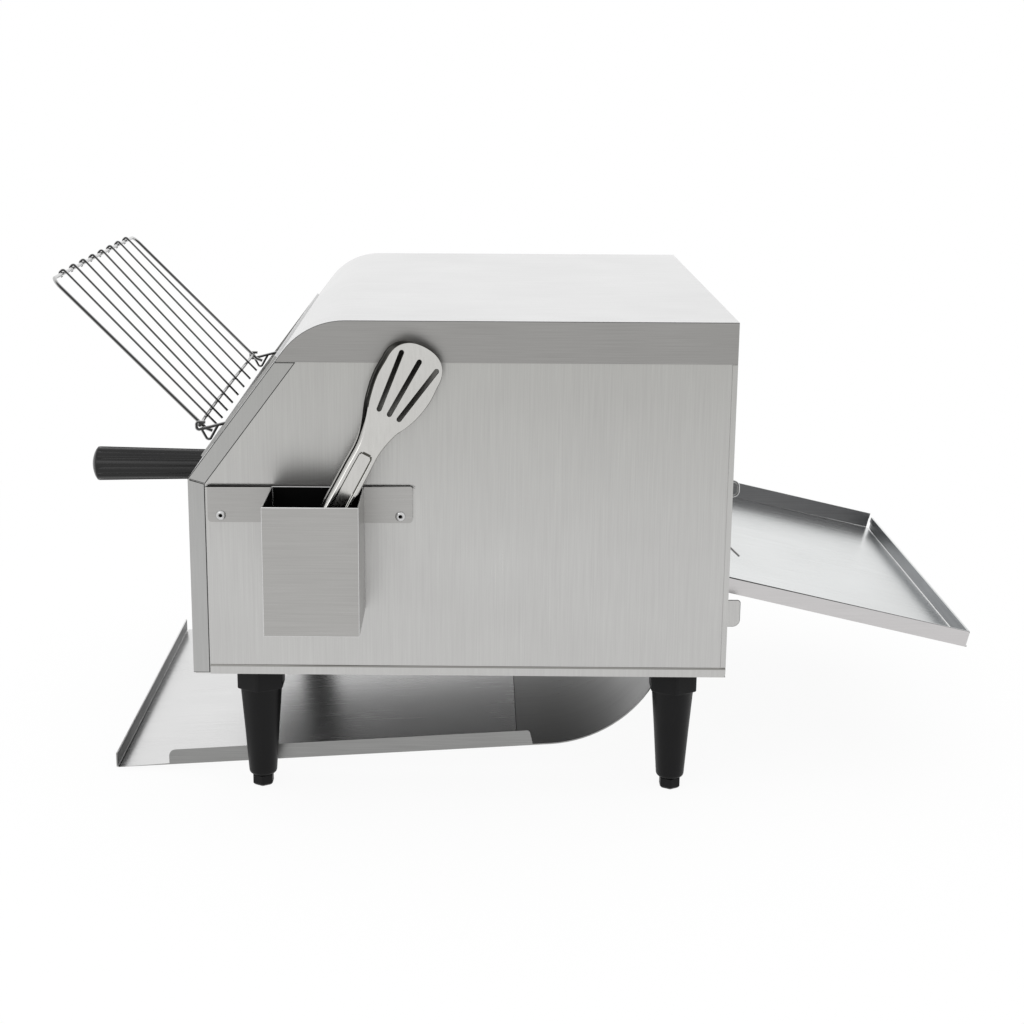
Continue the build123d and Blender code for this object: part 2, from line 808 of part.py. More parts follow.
def make_power_rocker():
    reach = rocker_body_half_z - 2.9
    points = [
        (rocker_pivot_y - 7.5, -reach),
        (rocker_pivot_y - 5.6, 0),
        (rocker_pivot_y - 7.5, reach),
        (rocker_pivot_y + 2, reach - 2.5),
        (rocker_pivot_y + 2, -reach + 2.5),
    ]
    width = rocker_body_half_x - 2.4
    cap = side_slab(outline(points), -width, width)
    cap += rod_x(-width - 1.1, width + 1.1, rocker_pivot_y, 0, rocker_pin_radius)
    tilt = Pos(0, rocker_pivot_y, 0) * Rot(-rocker_swing / 2, 0, 0) * Pos(0, -rocker_pivot_y, 0)
    return Pos(rocker_x, 0, control_z) * tilt * cap


def make_indicator_lamp():
    body = rod_y(0, 20, lamp_x, control_z, lamp_radius)
    rim = rod_y(-1.2, 0, lamp_x, control_z, lamp_radius + 2)
    lens = Pos(lamp_x, -3.2, control_z) * Rot(90, 0, 0) * Cone(lamp_radius - 0.4, lamp_radius - 1.8, 4)
    return body + rim + lens


def make_terminal_block():
    body = block(-40, 20, 150, 172, floor_top, floor_top + 16)
    for i in range(5):
        body -= rod_z(floor_top + 8, floor_top + 20, -34 + i * 12, 161, 3)
    return body


def make_cable_gland():
    inside = rod_y(body_depth - 14, body_depth - sheet - fit_gap, gland_x, gland_z, gland_radius + 3)
    barrel = rod_y(body_depth - 14, body_depth + 4, gland_x, gland_z, gland_radius)
    nut = Pos(gland_x, body_depth + 6, gland_z) * Rot(90, 0, 0) * extrude(RegularPolygon(gland_radius + 4, 6), 6)
    cone = Pos(gland_x, body_depth + 11, gland_z) * Rot(-90, 0, 0) * Cone(gland_radius + 2, gland_radius - 1, 12)
    bore = rod_y(body_depth - 20, body_depth + 30, gland_x, gland_z, 4)
    return inside + barrel + nut + cone - bore


# ---- Feed rack ----
def rack_hook(x):
    """Bent hook at one end of the lower rod, with its V-shaped foot and the eye for its pin."""
    hook = wire(
        [
            (x, rack_foot_y + 4.0, rack_foot_z + 2.0),
            (x, rack_foot_y - 3.2, rack_foot_z + 2.0),
            (x, rack_foot_y - 3.0, rack_foot_z - 4.6),
            (x, rack_hinge_y - eye_radius + 1.0, rack_hinge_z - 0.6),
        ],
        [2.0, 2.0],
        rack_hook_wire,
    )
    foot = wire(
        [
            (x, rack_foot_y + 0.8, rack_foot_z - 3.6),
            (x, rack_foot_y + 6.4, rack_foot_z - 14.1),
            (x, rack_foot_y + 14.0, rack_foot_z - 0.6),
        ],
        [2.2],
        rack_foot_wire,
    )
    eye = rod_x(x - rack_hook_wire - 0.1, x + rack_hook_wire + 0.1, rack_hinge_y, rack_hinge_z, eye_radius)
    eye -= rod_x(x - 5, x + 5, rack_hinge_y, rack_hinge_z, pin_radius + running_gap)
    return hook + eye + foot


def rack_out():
    """Unit direction square to the rack's face, towards the bread, as (Y, Z)."""
    run_y = rack_foot_y - rack_top_y
    run_z = rack_foot_z - rack_top_z
    length = sqrt(run_y**2 + run_z**2)
    return -run_z / length, run_y / length


def rack_rod_place(x):
    """Centre of the bowed lower rod at one place across the rack, as (Y, Z)."""
    reach = rack_half + rack_rod_reach
    curve = (reach**2 + rack_bow**2) / (2 * rack_bow)
    drop = sqrt(curve**2 - x**2) - (curve - rack_bow)
    out_y, out_z = rack_out()
    return rack_foot_y - out_y * drop, rack_foot_z - out_z * drop


def make_rack_frame():
    """U-shaped wire with its bowed lower rod, held by a hook at each end."""
    top = (rack_top_y, rack_top_z)
    foot = (rack_foot_y + 3.5, rack_foot_z - 3.55)
    end = (rack_foot_y + 9.0, rack_foot_z - 5.6)
    frame = wire(
        [
            (-rack_half, *end),
            (-rack_half, *foot),
            (-rack_half, *top),
            (rack_half, *top),
            (rack_half, *foot),
            (rack_half, *end),
        ],
        [5, 9, 9, 5],
        rack_frame_wire,
    )
    reach = rack_half + rack_rod_reach
    bow = ThreePointArc(
        (-reach, rack_foot_y, rack_foot_z), (0, *rack_rod_place(0)), (reach, rack_foot_y, rack_foot_z)
    )
    rod = sweep(Plane(origin=bow @ 0, z_dir=bow % 0) * Circle(rack_rod_radius), path=bow)
    hook_x = rack_half + 4.0
    rod += rack_hook(hook_x)
    rod += rack_hook(-hook_x)
    return frame + rod


def make_rack_wires():
    """Inner wires: hooked over the top bar, straight over the bowed rod, with a straight tail past it."""
    unit_y, unit_z = rack_out()
    lift = rack_frame_wire + rack_inner_wire + wire_gap
    foot_lift = rack_rod_radius + rack_inner_wire + wire_gap
    out_y, out_z = unit_y * lift, unit_z * lift
    along_y, along_z = unit_z, -unit_y
    top = (rack_top_y + out_y - along_y * lift, rack_top_z + out_z - along_z * lift)
    turn = (rack_top_y - out_y - along_y * lift, rack_top_z - out_z - along_z * lift)
    hook = (rack_top_y - out_y + along_y * 1.5, rack_top_z - out_z + along_z * 1.5)
    step = 2 * rack_half / (rack_wire_count + 1)
    wires = []
    for i in range(1, rack_wire_count + 1):
        x = -rack_half + i * step
        rod_place = rack_rod_place(x)
        seat = (rod_place[0] + unit_y * foot_lift, rod_place[1] + unit_z * foot_lift)
        reach = sqrt((seat[0] - top[0]) ** 2 + (seat[1] - top[1]) ** 2)
        stretch = 1 + rack_tail / reach
        tail = (top[0] + (seat[0] - top[0]) * stretch, top[1] + (seat[1] - top[1]) * stretch)
        wires.append(wire([(x, *hook), (x, *turn), (x, *top), (x, *tail)], [1.9, 1.9], rack_inner_wire))
    return group(wires)


def make_hook_pins():
    pins = []
    rack_pin = rod_x(rack_half, chamber_half, rack_hinge_y, rack_hinge_z, pin_radius)
    tray_pin = rod_x(tray_half - 4, chamber_half, tray_pivot_y, tray_pivot_z, pin_radius)
    stop = rod_x(flap_half - 5, chamber_half, *flap_stop_place(), pin_radius)
    flap_pin = rod_x(flap_half - 3, chamber_half, flap_y, flap_z, flap_pin_radius)
    for pin in (rack_pin, tray_pin, stop, flap_pin):
        pins.extend(both_sides(pin))
    return group(pins)


# ---- Discharge ----
def make_toast_chute():
    slope = tan(radians(chute_slope))
    rise = tan(radians(chute_rise))
    knee_z = hanger_z - 20
    knee_y = chute_back_y
    meet_y = (knee_z - rise * knee_y - chute_front_z + slope * chute_front_y) / (slope - rise)
    meet_z = chute_front_z + slope * (meet_y - chute_front_y)
    hook_y = chute_back_y - sheet - hanger_radius - running_gap
    outer = hanger_radius + running_gap + sheet
    line = FilletPolyline(
        (chute_front_y, chute_front_z + chute_lip),
        (chute_front_y, chute_front_z),
        (meet_y, meet_z),
        (knee_y, knee_z),
        (knee_y, hanger_z),
        radius=[1.2, chute_bend_radius, 15],
    )
    curl = ThreePointArc((knee_y, hanger_z), (hook_y, hanger_z + outer), (hook_y - outer, hanger_z))
    path = Wire(line.edges() + curl.edges())
    section = make_face(path.offset_2d(sheet, side=Side.LEFT, closed=True).edges())
    chute = side_slab(section, -chute_half, chute_half)
    base_front = chute_front_z + slope * (chute_wall_front - chute_front_y)
    base_rear = chute_front_z + slope * (chute_wall_rear - chute_front_y)
    wall_face = outline(
        [
            (chute_wall_front, base_front),
            (chute_wall_front, base_front + chute_wall + sheet),
            (chute_wall_rear - 3, base_rear + chute_wall + sheet),
            (chute_wall_rear, base_rear),
        ],
        [0, 6, 3, 0],
    )
    wall = side_slab(wall_face, chute_half - sheet, chute_half)
    for piece in both_sides(wall):
        chute += piece
    return chute


def make_chute_hanger_rod():
    hook_y = chute_back_y - sheet - hanger_radius - running_gap
    return rod_x(-chamber_half, chamber_half, hook_y, hanger_z, hanger_radius)


def tray_block(x0, x1, y0, y1, z0, z1):
    """Box in the rear tray's own sloping frame, measured from its hinge pins."""
    return TRAY * block(x0, x1, y0, y1, z0, z1)


def make_rear_tray():
    low = -tray_depth / 2
    high = tray_depth / 2
    end = tray_length
    tray = tray_block(-tray_half, tray_half, -tray_tail, end, low, low + sheet)
    tray += tray_block(tray_half - sheet, tray_half, -tray_tail, end - 0.5, low, high)
    tray += tray_block(tray_half - 2 * sheet, tray_half, 14, end - 0.5, high - tray_hem, high)
    far_high = high + tray_far_rise
    tray += tray_block(-tray_half, -tray_half + sheet, -tray_tail, end - 3.5, low, far_high)
    tray += tray_block(-tray_half, -tray_half + 2 * sheet, 14, end - 3.5, far_high - tray_hem, far_high)
    tray += tray_block(-tray_half + 3, tray_half - 3, end - sheet, end, low, high)
    tray += tray_block(-tray_half + 3, tray_half - 3, end - 2 * sheet, end, high - tray_hem, high)
    hole = rod_x(-tray_half - 5, tray_half + 5, tray_pivot_y, tray_pivot_z, pin_radius + running_gap)
    return tray - hole


def make_tray_brackets():
    corner_y = body_depth + bracket_reach
    under = tray_pivot_z - (corner_y - tray_pivot_y) * tan(radians(tray_slope))
    top = under - tray_depth / 2 / cos(radians(tray_slope)) - fit_gap
    face = outline(
        [
            (body_depth, top - bracket_drop),
            (body_depth, top),
            (corner_y, top),
            (corner_y, top - bracket_drop),
        ],
        [0, 0, 2.5, 6],
    )
    cheek = side_slab(face, bracket_x - bracket_sheet, bracket_x)
    ledge_top = top + (bracket_reach - ledge_reach) * tan(radians(tray_slope))
    ledge_rear = body_depth + ledge_reach
    ledge = block(tray_half - 5, bracket_x, body_depth, ledge_rear, ledge_top - bracket_sheet, ledge_top)
    foot = block(tray_half - 5, bracket_x, body_depth, body_depth + bracket_sheet, top - bracket_drop, ledge_top)
    return group(both_sides(cheek + ledge + foot))


def make_rear_wire_clip():
    """Bent wire on the rear face: a small loop above, a straight leg, and a tip turned outwards."""
    near = body_depth + clip_wire + hole_gap
    far = near + clip_loop_depth
    high = outlet_high + 2.5
    low = high - clip_loop_height
    foot = low - 38.0
    return wire(
        [
            (clip_x, near, high - 0.5),
            (clip_x, near + 3.2, high),
            (clip_x, far, high - 1.5),
            (clip_x, far, low + 1.5),
            (clip_x, near + 1.5, low),
            (clip_x, near, low - 4),
            (clip_x, near, foot),
            (clip_x, near + 11, foot - 10.5),
        ],
        [1.5, 4, 4, 2, 2, 3],
        clip_wire,
    )


def flap_stop_place():
    """Centre of the pin that the leaning flap rests on, under its upper end, as (Y, Z)."""
    lean = sqrt(0.5)
    rise = flap_offset - fit_gap - pin_radius
    reach = flap_length - 8
    return flap_y - lean * (reach - rise), flap_z + lean * (reach + rise)


def make_discharge_flap():
    """Built upright on its pins, then leant forward to its resting place."""
    plate = block(-flap_half, flap_half, flap_offset, flap_offset + sheet, -flap_tail, flap_length)
    for x in (-flap_half + 1, flap_half - 3):
        ear = rod_x(x, x + 2, 0, 0, flap_pin_radius + 2.2) + block(x, x + 2, 0, flap_offset + 0.5, -4, 4)
        plate += ear - rod_x(x - 5, x + 5, 0, 0, flap_pin_radius + running_gap)
    return Pos(0, flap_y, flap_z) * Rot(45, 0, 0) * plate


# ---- Utensil holder and tongs ----
def make_holder_strip():
    face = outline(
        [
            (holder_strip_front, holder_strip_low),
            (holder_strip_front, holder_strip_low + holder_strip_height),
            (holder_strip_front + holder_strip_length, holder_strip_low + holder_strip_height),
            (holder_strip_front + holder_strip_length, holder_strip_low),
        ],
        3,
    )
    plate = side_slab(face, strip_x, strip_x + sheet)
    for y in rivet_y:
        plate -= rod_x(strip_x - 5, strip_x + 5, y, rivet_z, rivet_radius + hole_gap)
    return plate


def make_holder_rivets():
    rivets = []
    for y in rivet_y:
        head_x = strip_x + sheet
        dome = Pos(head_x + 0.9, y, rivet_z) * Rot(0, 90, 0) * Cone(3.9, 2.4, 1.8)
        shank = rod_x(half - 2 * sheet - 2, head_x + 0.1, y, rivet_z, rivet_radius)
        bore = rod_x(half - 12, head_x + 10, y, rivet_z, 1.1)
        rivets.append(dome + shank - bore)
    return group(rivets)


def make_utensil_holder():
    x0 = strip_x + sheet
    x1 = x0 + holder_box_depth
    y0 = holder_box_front
    y1 = y0 + holder_box_length
    box = block(x0, x1, y0, y1, holder_box_low, holder_box_high)
    return box - block(x0 + sheet, x1 - sheet, y0 + sheet, y1 - sheet, holder_box_low + sheet, holder_box_high + 5)


def tongs_plane():
    """Frame of the standing tongs: X across, Y along the arms upwards, Z out of the front arm."""
    x_spot = strip_x + sheet + holder_box_depth - tongs_from_side
    y_spot = holder_box_front + tongs_from_front
    z_spot = holder_box_low + tongs_from_floor
    lean = Plane(origin=(x_spot, y_spot, z_spot), x_dir=(0, 1, 0), z_dir=(1, 0, 0))
    turned = lean * Rot(0, 0, tongs_lean - 90) * Rot(-tongs_tilt, 0, 0) * Rot(0, tongs_twist, 0)
    return turned


def tongs_half_outline():
    """Right edge of an arm from the bow to the crown of its head, as (across, along)."""
    head = tongs_length
    return [
        (tongs_grip - 2.5, 10),
        (tongs_grip, 55),
        (tongs_grip - 0.3, head - 84),
        (12.5, head - 71),
        (19.8, head - 52),
        (23.4, head - 34),
        (22.8, head - 16),
        (17.0, head - 5.5),
    ]


def make_tongs_blank():
    """Flat outline of one arm: narrow grip, flank widening to the rounded head."""
    right = tongs_half_outline()
    left = [(-x, y) for x, y in reversed(right)]
    flank = Spline(*right[2:])
    other = Spline(*left[:6])
    crown = ThreePointArc(right[7], (0, tongs_length), left[0])
    stem = Polyline(left[5], left[6], left[7], right[0], right[1], right[2])
    return make_face(flank.edges() + crown.edges() + other.edges() + stem.edges())


def make_tongs_arm(level):
    """One arm in the tongs' frame, its outer face at a level: slotted head, channel grip."""
    face = make_tongs_blank()
    for low_x, top_x in ((-8.8, -15.5), (0, 0), (8.8, 15.5)):
        face -= slot_between((low_x, tongs_length - 55), (top_x, tongs_length - 12), 3.6)
    arm = extrude(Plane.XY.offset(level - tongs_sheet) * face, amount=tongs_sheet, dir=(0, 0, 1))
    edge = tongs_grip - 0.2
    lip = block(edge - tongs_sheet, edge, 62, tongs_length - 92, level - 5, level - 0.2)
    for piece in both_sides(lip):
        arm += piece
    return arm


def slot_between(start, end, width):
    """Round-ended slot from one point to another."""
    run_x, run_y = end[0] - start[0], end[1] - start[1]
    length = sqrt(run_x**2 + run_y**2)
    angle = 90 - degrees(asin(run_x / length))
    middle = ((start[0] + end[0]) / 2, (start[1] + end[1]) / 2)
    return Pos(*middle) * Rot(0, 0, angle) * SlotCenterToCenter(length, width)


def make_tongs_front_arm():
    return tongs_plane() * make_tongs_arm(tongs_gap / 2 + tongs_sheet)


def make_tongs_rear_arm():
    """Rear arm with the bow, whose free end laps inside the front arm's foot."""
    outer = tongs_gap / 2 + tongs_sheet
    bow_half = tongs_grip - 2.5
    ring = Circle(outer) - Circle(tongs_gap / 2)
    ring &= Pos(-outer, 0) * Rectangle(2 * outer, 4 * outer)
    bow = extrude(Plane.YZ * ring, amount=bow_half, both=True)
    foot = block(-bow_half, bow_half, -0.1, 10.1, -outer, -tongs_gap / 2)
    lap = block(-bow_half, bow_half, -0.1, 10 - fit_gap, tongs_gap / 2, outer)
    arm = mirror(make_tongs_arm(outer), about=Plane.XY)
    return tongs_plane() * (arm + bow + foot + lap)


# ---- Legs ----
def leg_places():
    """Leg centres as (X, Y): near front, near rear, far front, far rear."""
    return [(leg_x, leg_front_y), (leg_x, leg_rear_y), (-leg_x, leg_front_y), (-leg_x, leg_rear_y)]


def make_leg(x, y):
    collar_low = leg_height - collar_height
    profile = make_face(
        Polyline(
            (0, foot_height + 0.6),
            (leg_end_radius - 1.6, foot_height + 0.6),
            (leg_end_radius, foot_height + 3.4),
            (leg_top_radius, collar_low + 1),
            (0, collar_low + 1),
            (0, foot_height + 0.6),
        )
    )
    cone = revolve(Plane.XZ * profile, Axis.Z)
    collar = Pos(0, 0, collar_low) * extrude(RegularPolygon(collar_flats / 2, 6, major_radius=False), collar_height)
    bolt = rod_z(leg_height, floor_top + 6, 0, 0, leg_bolt_radius)
    nut = Pos(0, 0, floor_top) * extrude(RegularPolygon(6.5, 6, major_radius=False), 5)
    bore = rod_z(0, foot_height + foot_stem_length + 2, 0, 0, foot_stem_radius + running_gap)
    leg = cone + collar + bolt + nut - bore
    return Pos(x, y, 0) * leg


def make_legs():
    return group([make_leg(*place) for place in leg_places()])


def make_foot(x, y):
    head = extrude(RegularPolygon(foot_flats / 2, 6, major_radius=False), foot_height)
    head = chamfer(head.faces().sort_by(Axis.Z)[0].edges(), 1.6)
    stem = rod_z(foot_height, foot_height + foot_stem_length, 0, 0, foot_stem_radius)
    return Pos(x, y, 0) * (head + stem)


# ---- Smaller sizes used by more than one piece ----
rocker_body_half_x = 14.0
rocker_body_half_z = 11.0
rocker_pivot_y = 4.0
rocker_pin_radius = 1.5
rocker_swing = 16.0
lamp_radius = 5.0
screw_radius = 1.75
screw_head_radius = 3.4
rear_screw_x = half - 2 * sheet - side_flange / 2
rear_screw_z = [leg_height + 30, leg_height + 110, leg_height + 190, top_z - hood_rear_lap - 12]
strip_x = half + 0.6
rivet_y = [25.1, 164.0]
rivet_z = holder_strip_low + 5.3
rivet_radius = 2.0
vent_columns = 10
vent_rows = 2
vent_first_y = 120.0
vent_step = 12.0
vent_first_z = leg_height + 26.0
vent_height = 40.0
vent_row_gap = 12.0
vent_width = 4.0
rear_vent_count = 6
rear_vent_x = 0.0
rear_vent_z = outlet_high + 38.0
rear_vent_step = 10.0
rear_vent_length = 120.0
drop_half = chamber_half - 2.0
drop_front = body_depth - 130.0
drop_rear = body_depth - 8.0
leg_bolt_radius = 4.0
bush_radius = 9.0
shaft_reach = wall_out + 8.0
motor_shaft_radius = 4.0
chain_x = wall_out + 14.0
gland_x = -half + 27.0
gland_z = leg_height + 17.0
gland_radius = 8.0
reflector_rear_y = body_depth - 16.0
fan_pin_radius = 2.0
rack_hook_wire = 1.25
rack_foot_wire = 1.1
rack_rod_radius = 1.4
eye_radius = pin_radius + 2.2
flap_pin_radius = 2.0
clip_x = bracket_x + 3.0
clip_wire = 1.0
clip_loop_depth = 8.1
clip_loop_height = 13.0
flap_offset = flap_pin_radius + 2.2


def build_nodes():
    """Every node of the model by name, in the working frame."""
    places = heater_places()
    nodes = {
        "base_pan": make_base_pan(),
        "side_panel_right": make_side_panel(True),
        "side_panel_left": make_side_panel(False),
        "hood": make_hood(),
        "front_panel": make_front_panel(),
        "rear_panel": make_rear_panel(),
        "casing_screws": make_casing_screws(),
        "chamber_wall_right": make_chamber_wall(False),
        "chamber_wall_left": make_chamber_wall(True),
        "top_reflector": make_top_reflector(),
        "lower_reflector": make_lower_reflector(),
        "lower_partition": make_lower_partition(),
        "conveyor_belt": make_conveyor_belt(),
        "belt_side_links": make_belt_side_links(),
        "drive_shaft": make_drive_shaft(),
        "idler_shaft": make_idler_shaft(),
        "drive_sprockets": make_drive_sprockets(),
        "idler_rollers": make_idler_rollers(),
        "shaft_bushes": make_shaft_bushes(),
        "belt_rails": make_belt_rails(),
        "gearmotor": make_gearmotor(),
        "motor_sprocket": make_motor_sprocket(),
        "shaft_sprocket": make_shaft_sprocket(),
        "drive_chain": make_drive_chain(),
        "fan_frame": make_fan_frame(),
        "fan_rotor": make_fan_rotor(),
        "upper_heaters": make_heaters(places[:upper_heater_count]),
        "lower_heaters": make_heaters(places[upper_heater_count:]),
        "heater_holders": make_heater_holders(),
        "crumb_tray": make_crumb_tray(),
        "crumb_tray_handle": make_crumb_tray_handle(),
        "crumb_tray_runners": make_crumb_tray_runners(),
        "heat_knob": make_knob(heat_knob_x),
        "speed_knob": make_knob(speed_knob_x),
        "heat_selector": make_heat_selector(),
        "speed_control": make_speed_control(),
        "switch_housing": make_switch_housing(),
        "power_rocker": make_power_rocker(),
        "indicator_lamp": make_indicator_lamp(),
        "terminal_block": make_terminal_block(),
        "cable_gland": make_cable_gland(),
        "rack_frame": make_rack_frame(),
        "rack_wires": make_rack_wires(),
        "hook_pins": make_hook_pins(),
        "toast_chute": make_toast_chute(),
        "chute_hanger_rod": make_chute_hanger_rod(),
        "rear_tray": make_rear_tray(),
        "tray_brackets": make_tray_brackets(),
        "rear_wire_clip": make_rear_wire_clip(),
        "discharge_flap": make_discharge_flap(),
        "holder_strip": make_holder_strip(),
        "holder_rivets": make_holder_rivets(),
        "utensil_holder": make_utensil_holder(),
        "tongs_front_arm": make_tongs_front_arm(),
        "tongs_rear_arm": make_tongs_rear_arm(),
        "legs": make_legs(),
    }
    names = ["foot_near_front", "foot_near_rear", "foot_far_front", "foot_far_rear"]
    for name, place in zip(names, leg_places()):
        nodes[name] = make_foot(*place)
    return nodes


nodes = build_nodes()
whole = Compound(children=[Compound(children=shape.solids()) for shape in nodes.values()])
bounds = whole.bounding_box()
centre = bounds.center()
origin_shift = Pos(-centre.X, -centre.Y, -bounds.min.Z)
for name, shape in nodes.items():
    export_step(origin_shift * Compound(children=shape.solids()), f"parts/{name}.step")
print("nodes", len(nodes), "shift", -centre.X, -centre.Y, -bounds.min.Z)
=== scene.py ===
"""Countertop conveyor toaster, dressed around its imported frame: metres, +Z up, -Y towards the user."""

import bpy
import bmesh
import numpy as np
from math import radians
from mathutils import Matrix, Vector


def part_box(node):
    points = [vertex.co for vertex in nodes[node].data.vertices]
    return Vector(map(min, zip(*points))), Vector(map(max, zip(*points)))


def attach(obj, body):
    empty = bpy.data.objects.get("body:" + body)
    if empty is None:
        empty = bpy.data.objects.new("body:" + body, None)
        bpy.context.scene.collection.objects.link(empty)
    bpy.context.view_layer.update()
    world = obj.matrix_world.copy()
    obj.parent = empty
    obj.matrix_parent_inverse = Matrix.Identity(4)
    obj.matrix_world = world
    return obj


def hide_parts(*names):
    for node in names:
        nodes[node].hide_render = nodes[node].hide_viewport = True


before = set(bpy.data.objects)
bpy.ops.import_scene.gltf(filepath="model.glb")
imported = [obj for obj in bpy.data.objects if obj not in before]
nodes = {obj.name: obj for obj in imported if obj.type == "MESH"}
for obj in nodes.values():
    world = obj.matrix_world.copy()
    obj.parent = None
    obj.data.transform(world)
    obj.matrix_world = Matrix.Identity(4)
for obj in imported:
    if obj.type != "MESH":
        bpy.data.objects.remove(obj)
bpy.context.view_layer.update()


# ---- Legs and levelling feet ----
# Four injection-moulded legs in black ABS: a hexagonal collar under the base, a long taper below it, and a
# small hexagonal foot that screws up and down. Each is bolted through the base with one nut.
def linear(code):
    """An sRGB hex colour turned to linear light, with full alpha."""
    value = np.array([int(code[i : i + 2], 16) for i in (1, 3, 5)]) / 255.0
    value = np.where(value <= 0.04045, value / 12.92, ((value + 0.055) / 1.055) ** 2.4)
    return (*value.tolist(), 1.0)


def configured(item, **settings):
    """An item with these settings."""
    for key, value in settings.items():
        setattr(item, key, value)
    return item


def feed(tree, item, inputs):
    """Sets a node's inputs: each takes a value, or a socket that it is linked to."""
    for key, value in inputs.items():
        if isinstance(value, bpy.types.NodeSocket):
            tree.links.new(value, item.inputs[key])
        else:
            item.inputs[key].default_value = value
    return item


def add(tree, kind, inputs=None, **settings):
    """Adds a shader node with its settings and inputs."""
    return feed(tree, configured(tree.nodes.new(kind), **settings), inputs or {})


def mixed(tree, share, low, high, **settings):
    """A colour between two, by a share from 0 to 1."""
    return add(tree, "ShaderNodeMix", {0: share, 6: low, 7: high}, data_type="RGBA", **settings).outputs[2]


def surface(name):
    """A new material, its node tree, its shader, and the coordinates of the object that it is on."""
    material = bpy.data.materials.new(name)
    material.use_nodes = True
    tree = material.node_tree
    return material, tree, tree.nodes["Principled BSDF"], add(tree, "ShaderNodeTexCoord").outputs["Object"]


def moulded_plastic(name, colour, worn, roughness, grit_mm, gloss=0.3):
    """Moulded plastic, ceramic or ink: even colour, fine eroded-tool texture, and patches paler and rougher."""
    material, tree, shader, place = surface(name)
    grit = add(tree, "ShaderNodeTexNoise", {"Vector": place, "Scale": 1000.0 / grit_mm, "Detail": 2.0})
    patch = add(tree, "ShaderNodeTexNoise", {"Vector": place, "Scale": 22.0, "Detail": 3.0}).outputs["Fac"]
    rough = add(tree, "ShaderNodeMapRange", {"Value": patch, "To Min": roughness - 0.05, "To Max": roughness + 0.07})
    bump = add(tree, "ShaderNodeBump", {"Height": grit.outputs["Fac"], "Strength": 0.25, "Distance": 0.0002})
    tone = mixed(tree, patch, linear(colour), linear(worn))
    feed(tree, shader, {"Base Color": tone, "Roughness": rough.outputs[0], "Normal": bump.outputs[0]})
    feed(tree, shader, {"IOR": 1.53, "Specular IOR Level": gloss})
    return material


front_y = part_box("front_panel")[0].y
middle_x = (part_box("base_pan")[0].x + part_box("base_pan")[1].x) / 2
origin = np.array([middle_x, front_y, 0.0])


def placed(points):
    """Millimetres from the middle of the front face's foot, as metres in the frame's own axes."""
    return np.asarray(points, float) / 1000.0 + origin


def quads(rows, columns, wrap_rows=False, wrap_columns=False):
    """Faces of a grid of points: each joins a point to its neighbours along both parameters, wrapped if closed."""
    i = np.arange(rows if wrap_rows else rows - 1)[:, None]
    j = np.arange(columns if wrap_columns else columns - 1)[None, :]
    after_i, after_j = (i + 1) % rows, (j + 1) % columns
    corners = [i * columns + j, i * columns + after_j, after_i * columns + after_j, after_i * columns + j]
    return np.stack(corners, -1).reshape(-1, 4)


def in_scene(name, data):
    """An object for a mesh, lamp or the like, put in the scene."""
    item = bpy.data.objects.new(name, data)
    bpy.context.scene.collection.objects.link(item)
    return item


def claim(piece, body, replaced=()):
    """Puts a piece on the body it rides on and hides the CAD nodes it replaces."""
    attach(piece, body)
    if replaced:
        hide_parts(*replaced)


def smoothed(mesh, angle):
    """Shades a mesh smooth, but for edges whose faces meet at more than an angle in degrees."""
    mesh.shade_smooth()
    mesh.set_sharp_from_angle(angle=radians(angle))


def joined(name, parts, materials, slots=None, outward=None):
    """One mesh of several parts, each a grid of points and its faces: joined, welded, and turned outwards. slots
    gives a material slot for each part, unless a part brings one for each of its faces. An open sheet is turned so
    that its largest face looks outward."""
    points, faces, index, count = [], [], [], 0
    for number, (grid, part_faces, *own) in enumerate(parts):
        flat = np.asarray(grid, float).reshape(-1, 3)
        points.append(flat)
        faces.append(part_faces + count)
        index.append(own[0] if own else np.full(len(part_faces), slots[number] if slots else 0))
        count += len(flat)
    mesh = bpy.data.meshes.new(name)
    mesh.from_pydata(placed(np.concatenate(points)).tolist(), [], np.concatenate(faces).tolist())
    for material in materials:
        mesh.materials.append(material)
    mesh.polygons.foreach_set("material_index", np.concatenate(index).astype(np.int32))
    shape = bmesh.new()
    shape.from_mesh(mesh)
    bmesh.ops.remove_doubles(shape, verts=shape.verts, dist=3e-6)
    bmesh.ops.dissolve_degenerate(shape, edges=shape.edges, dist=1e-6)
    bmesh.ops.delete(shape, geom=[v for v in shape.verts if not v.link_faces], context="VERTS")
    bmesh.ops.recalc_face_normals(shape, faces=shape.faces)
    if outward is not None:
        shape.normal_update()
        largest = max(shape.faces, key=lambda face: face.calc_area())
        if np.array(largest.normal) @ outward < 0:
            bmesh.ops.reverse_faces(shape, faces=shape.faces)
    shape.to_mesh(mesh)
    shape.free()
    return mesh


def whole(name, parts, materials, body, replaced=(), sharp=34.0, slots=None):
    """One piece of several parts, each a grid of points and its faces."""
    mesh = joined(name, parts, materials, slots)
    piece = in_scene(name, mesh)
    smoothed(mesh, sharp)
    claim(piece, body, replaced)


def full_turn(count):
    """Angles evenly round a circle."""
    return np.linspace(0, 2 * np.pi, count, endpoint=False)


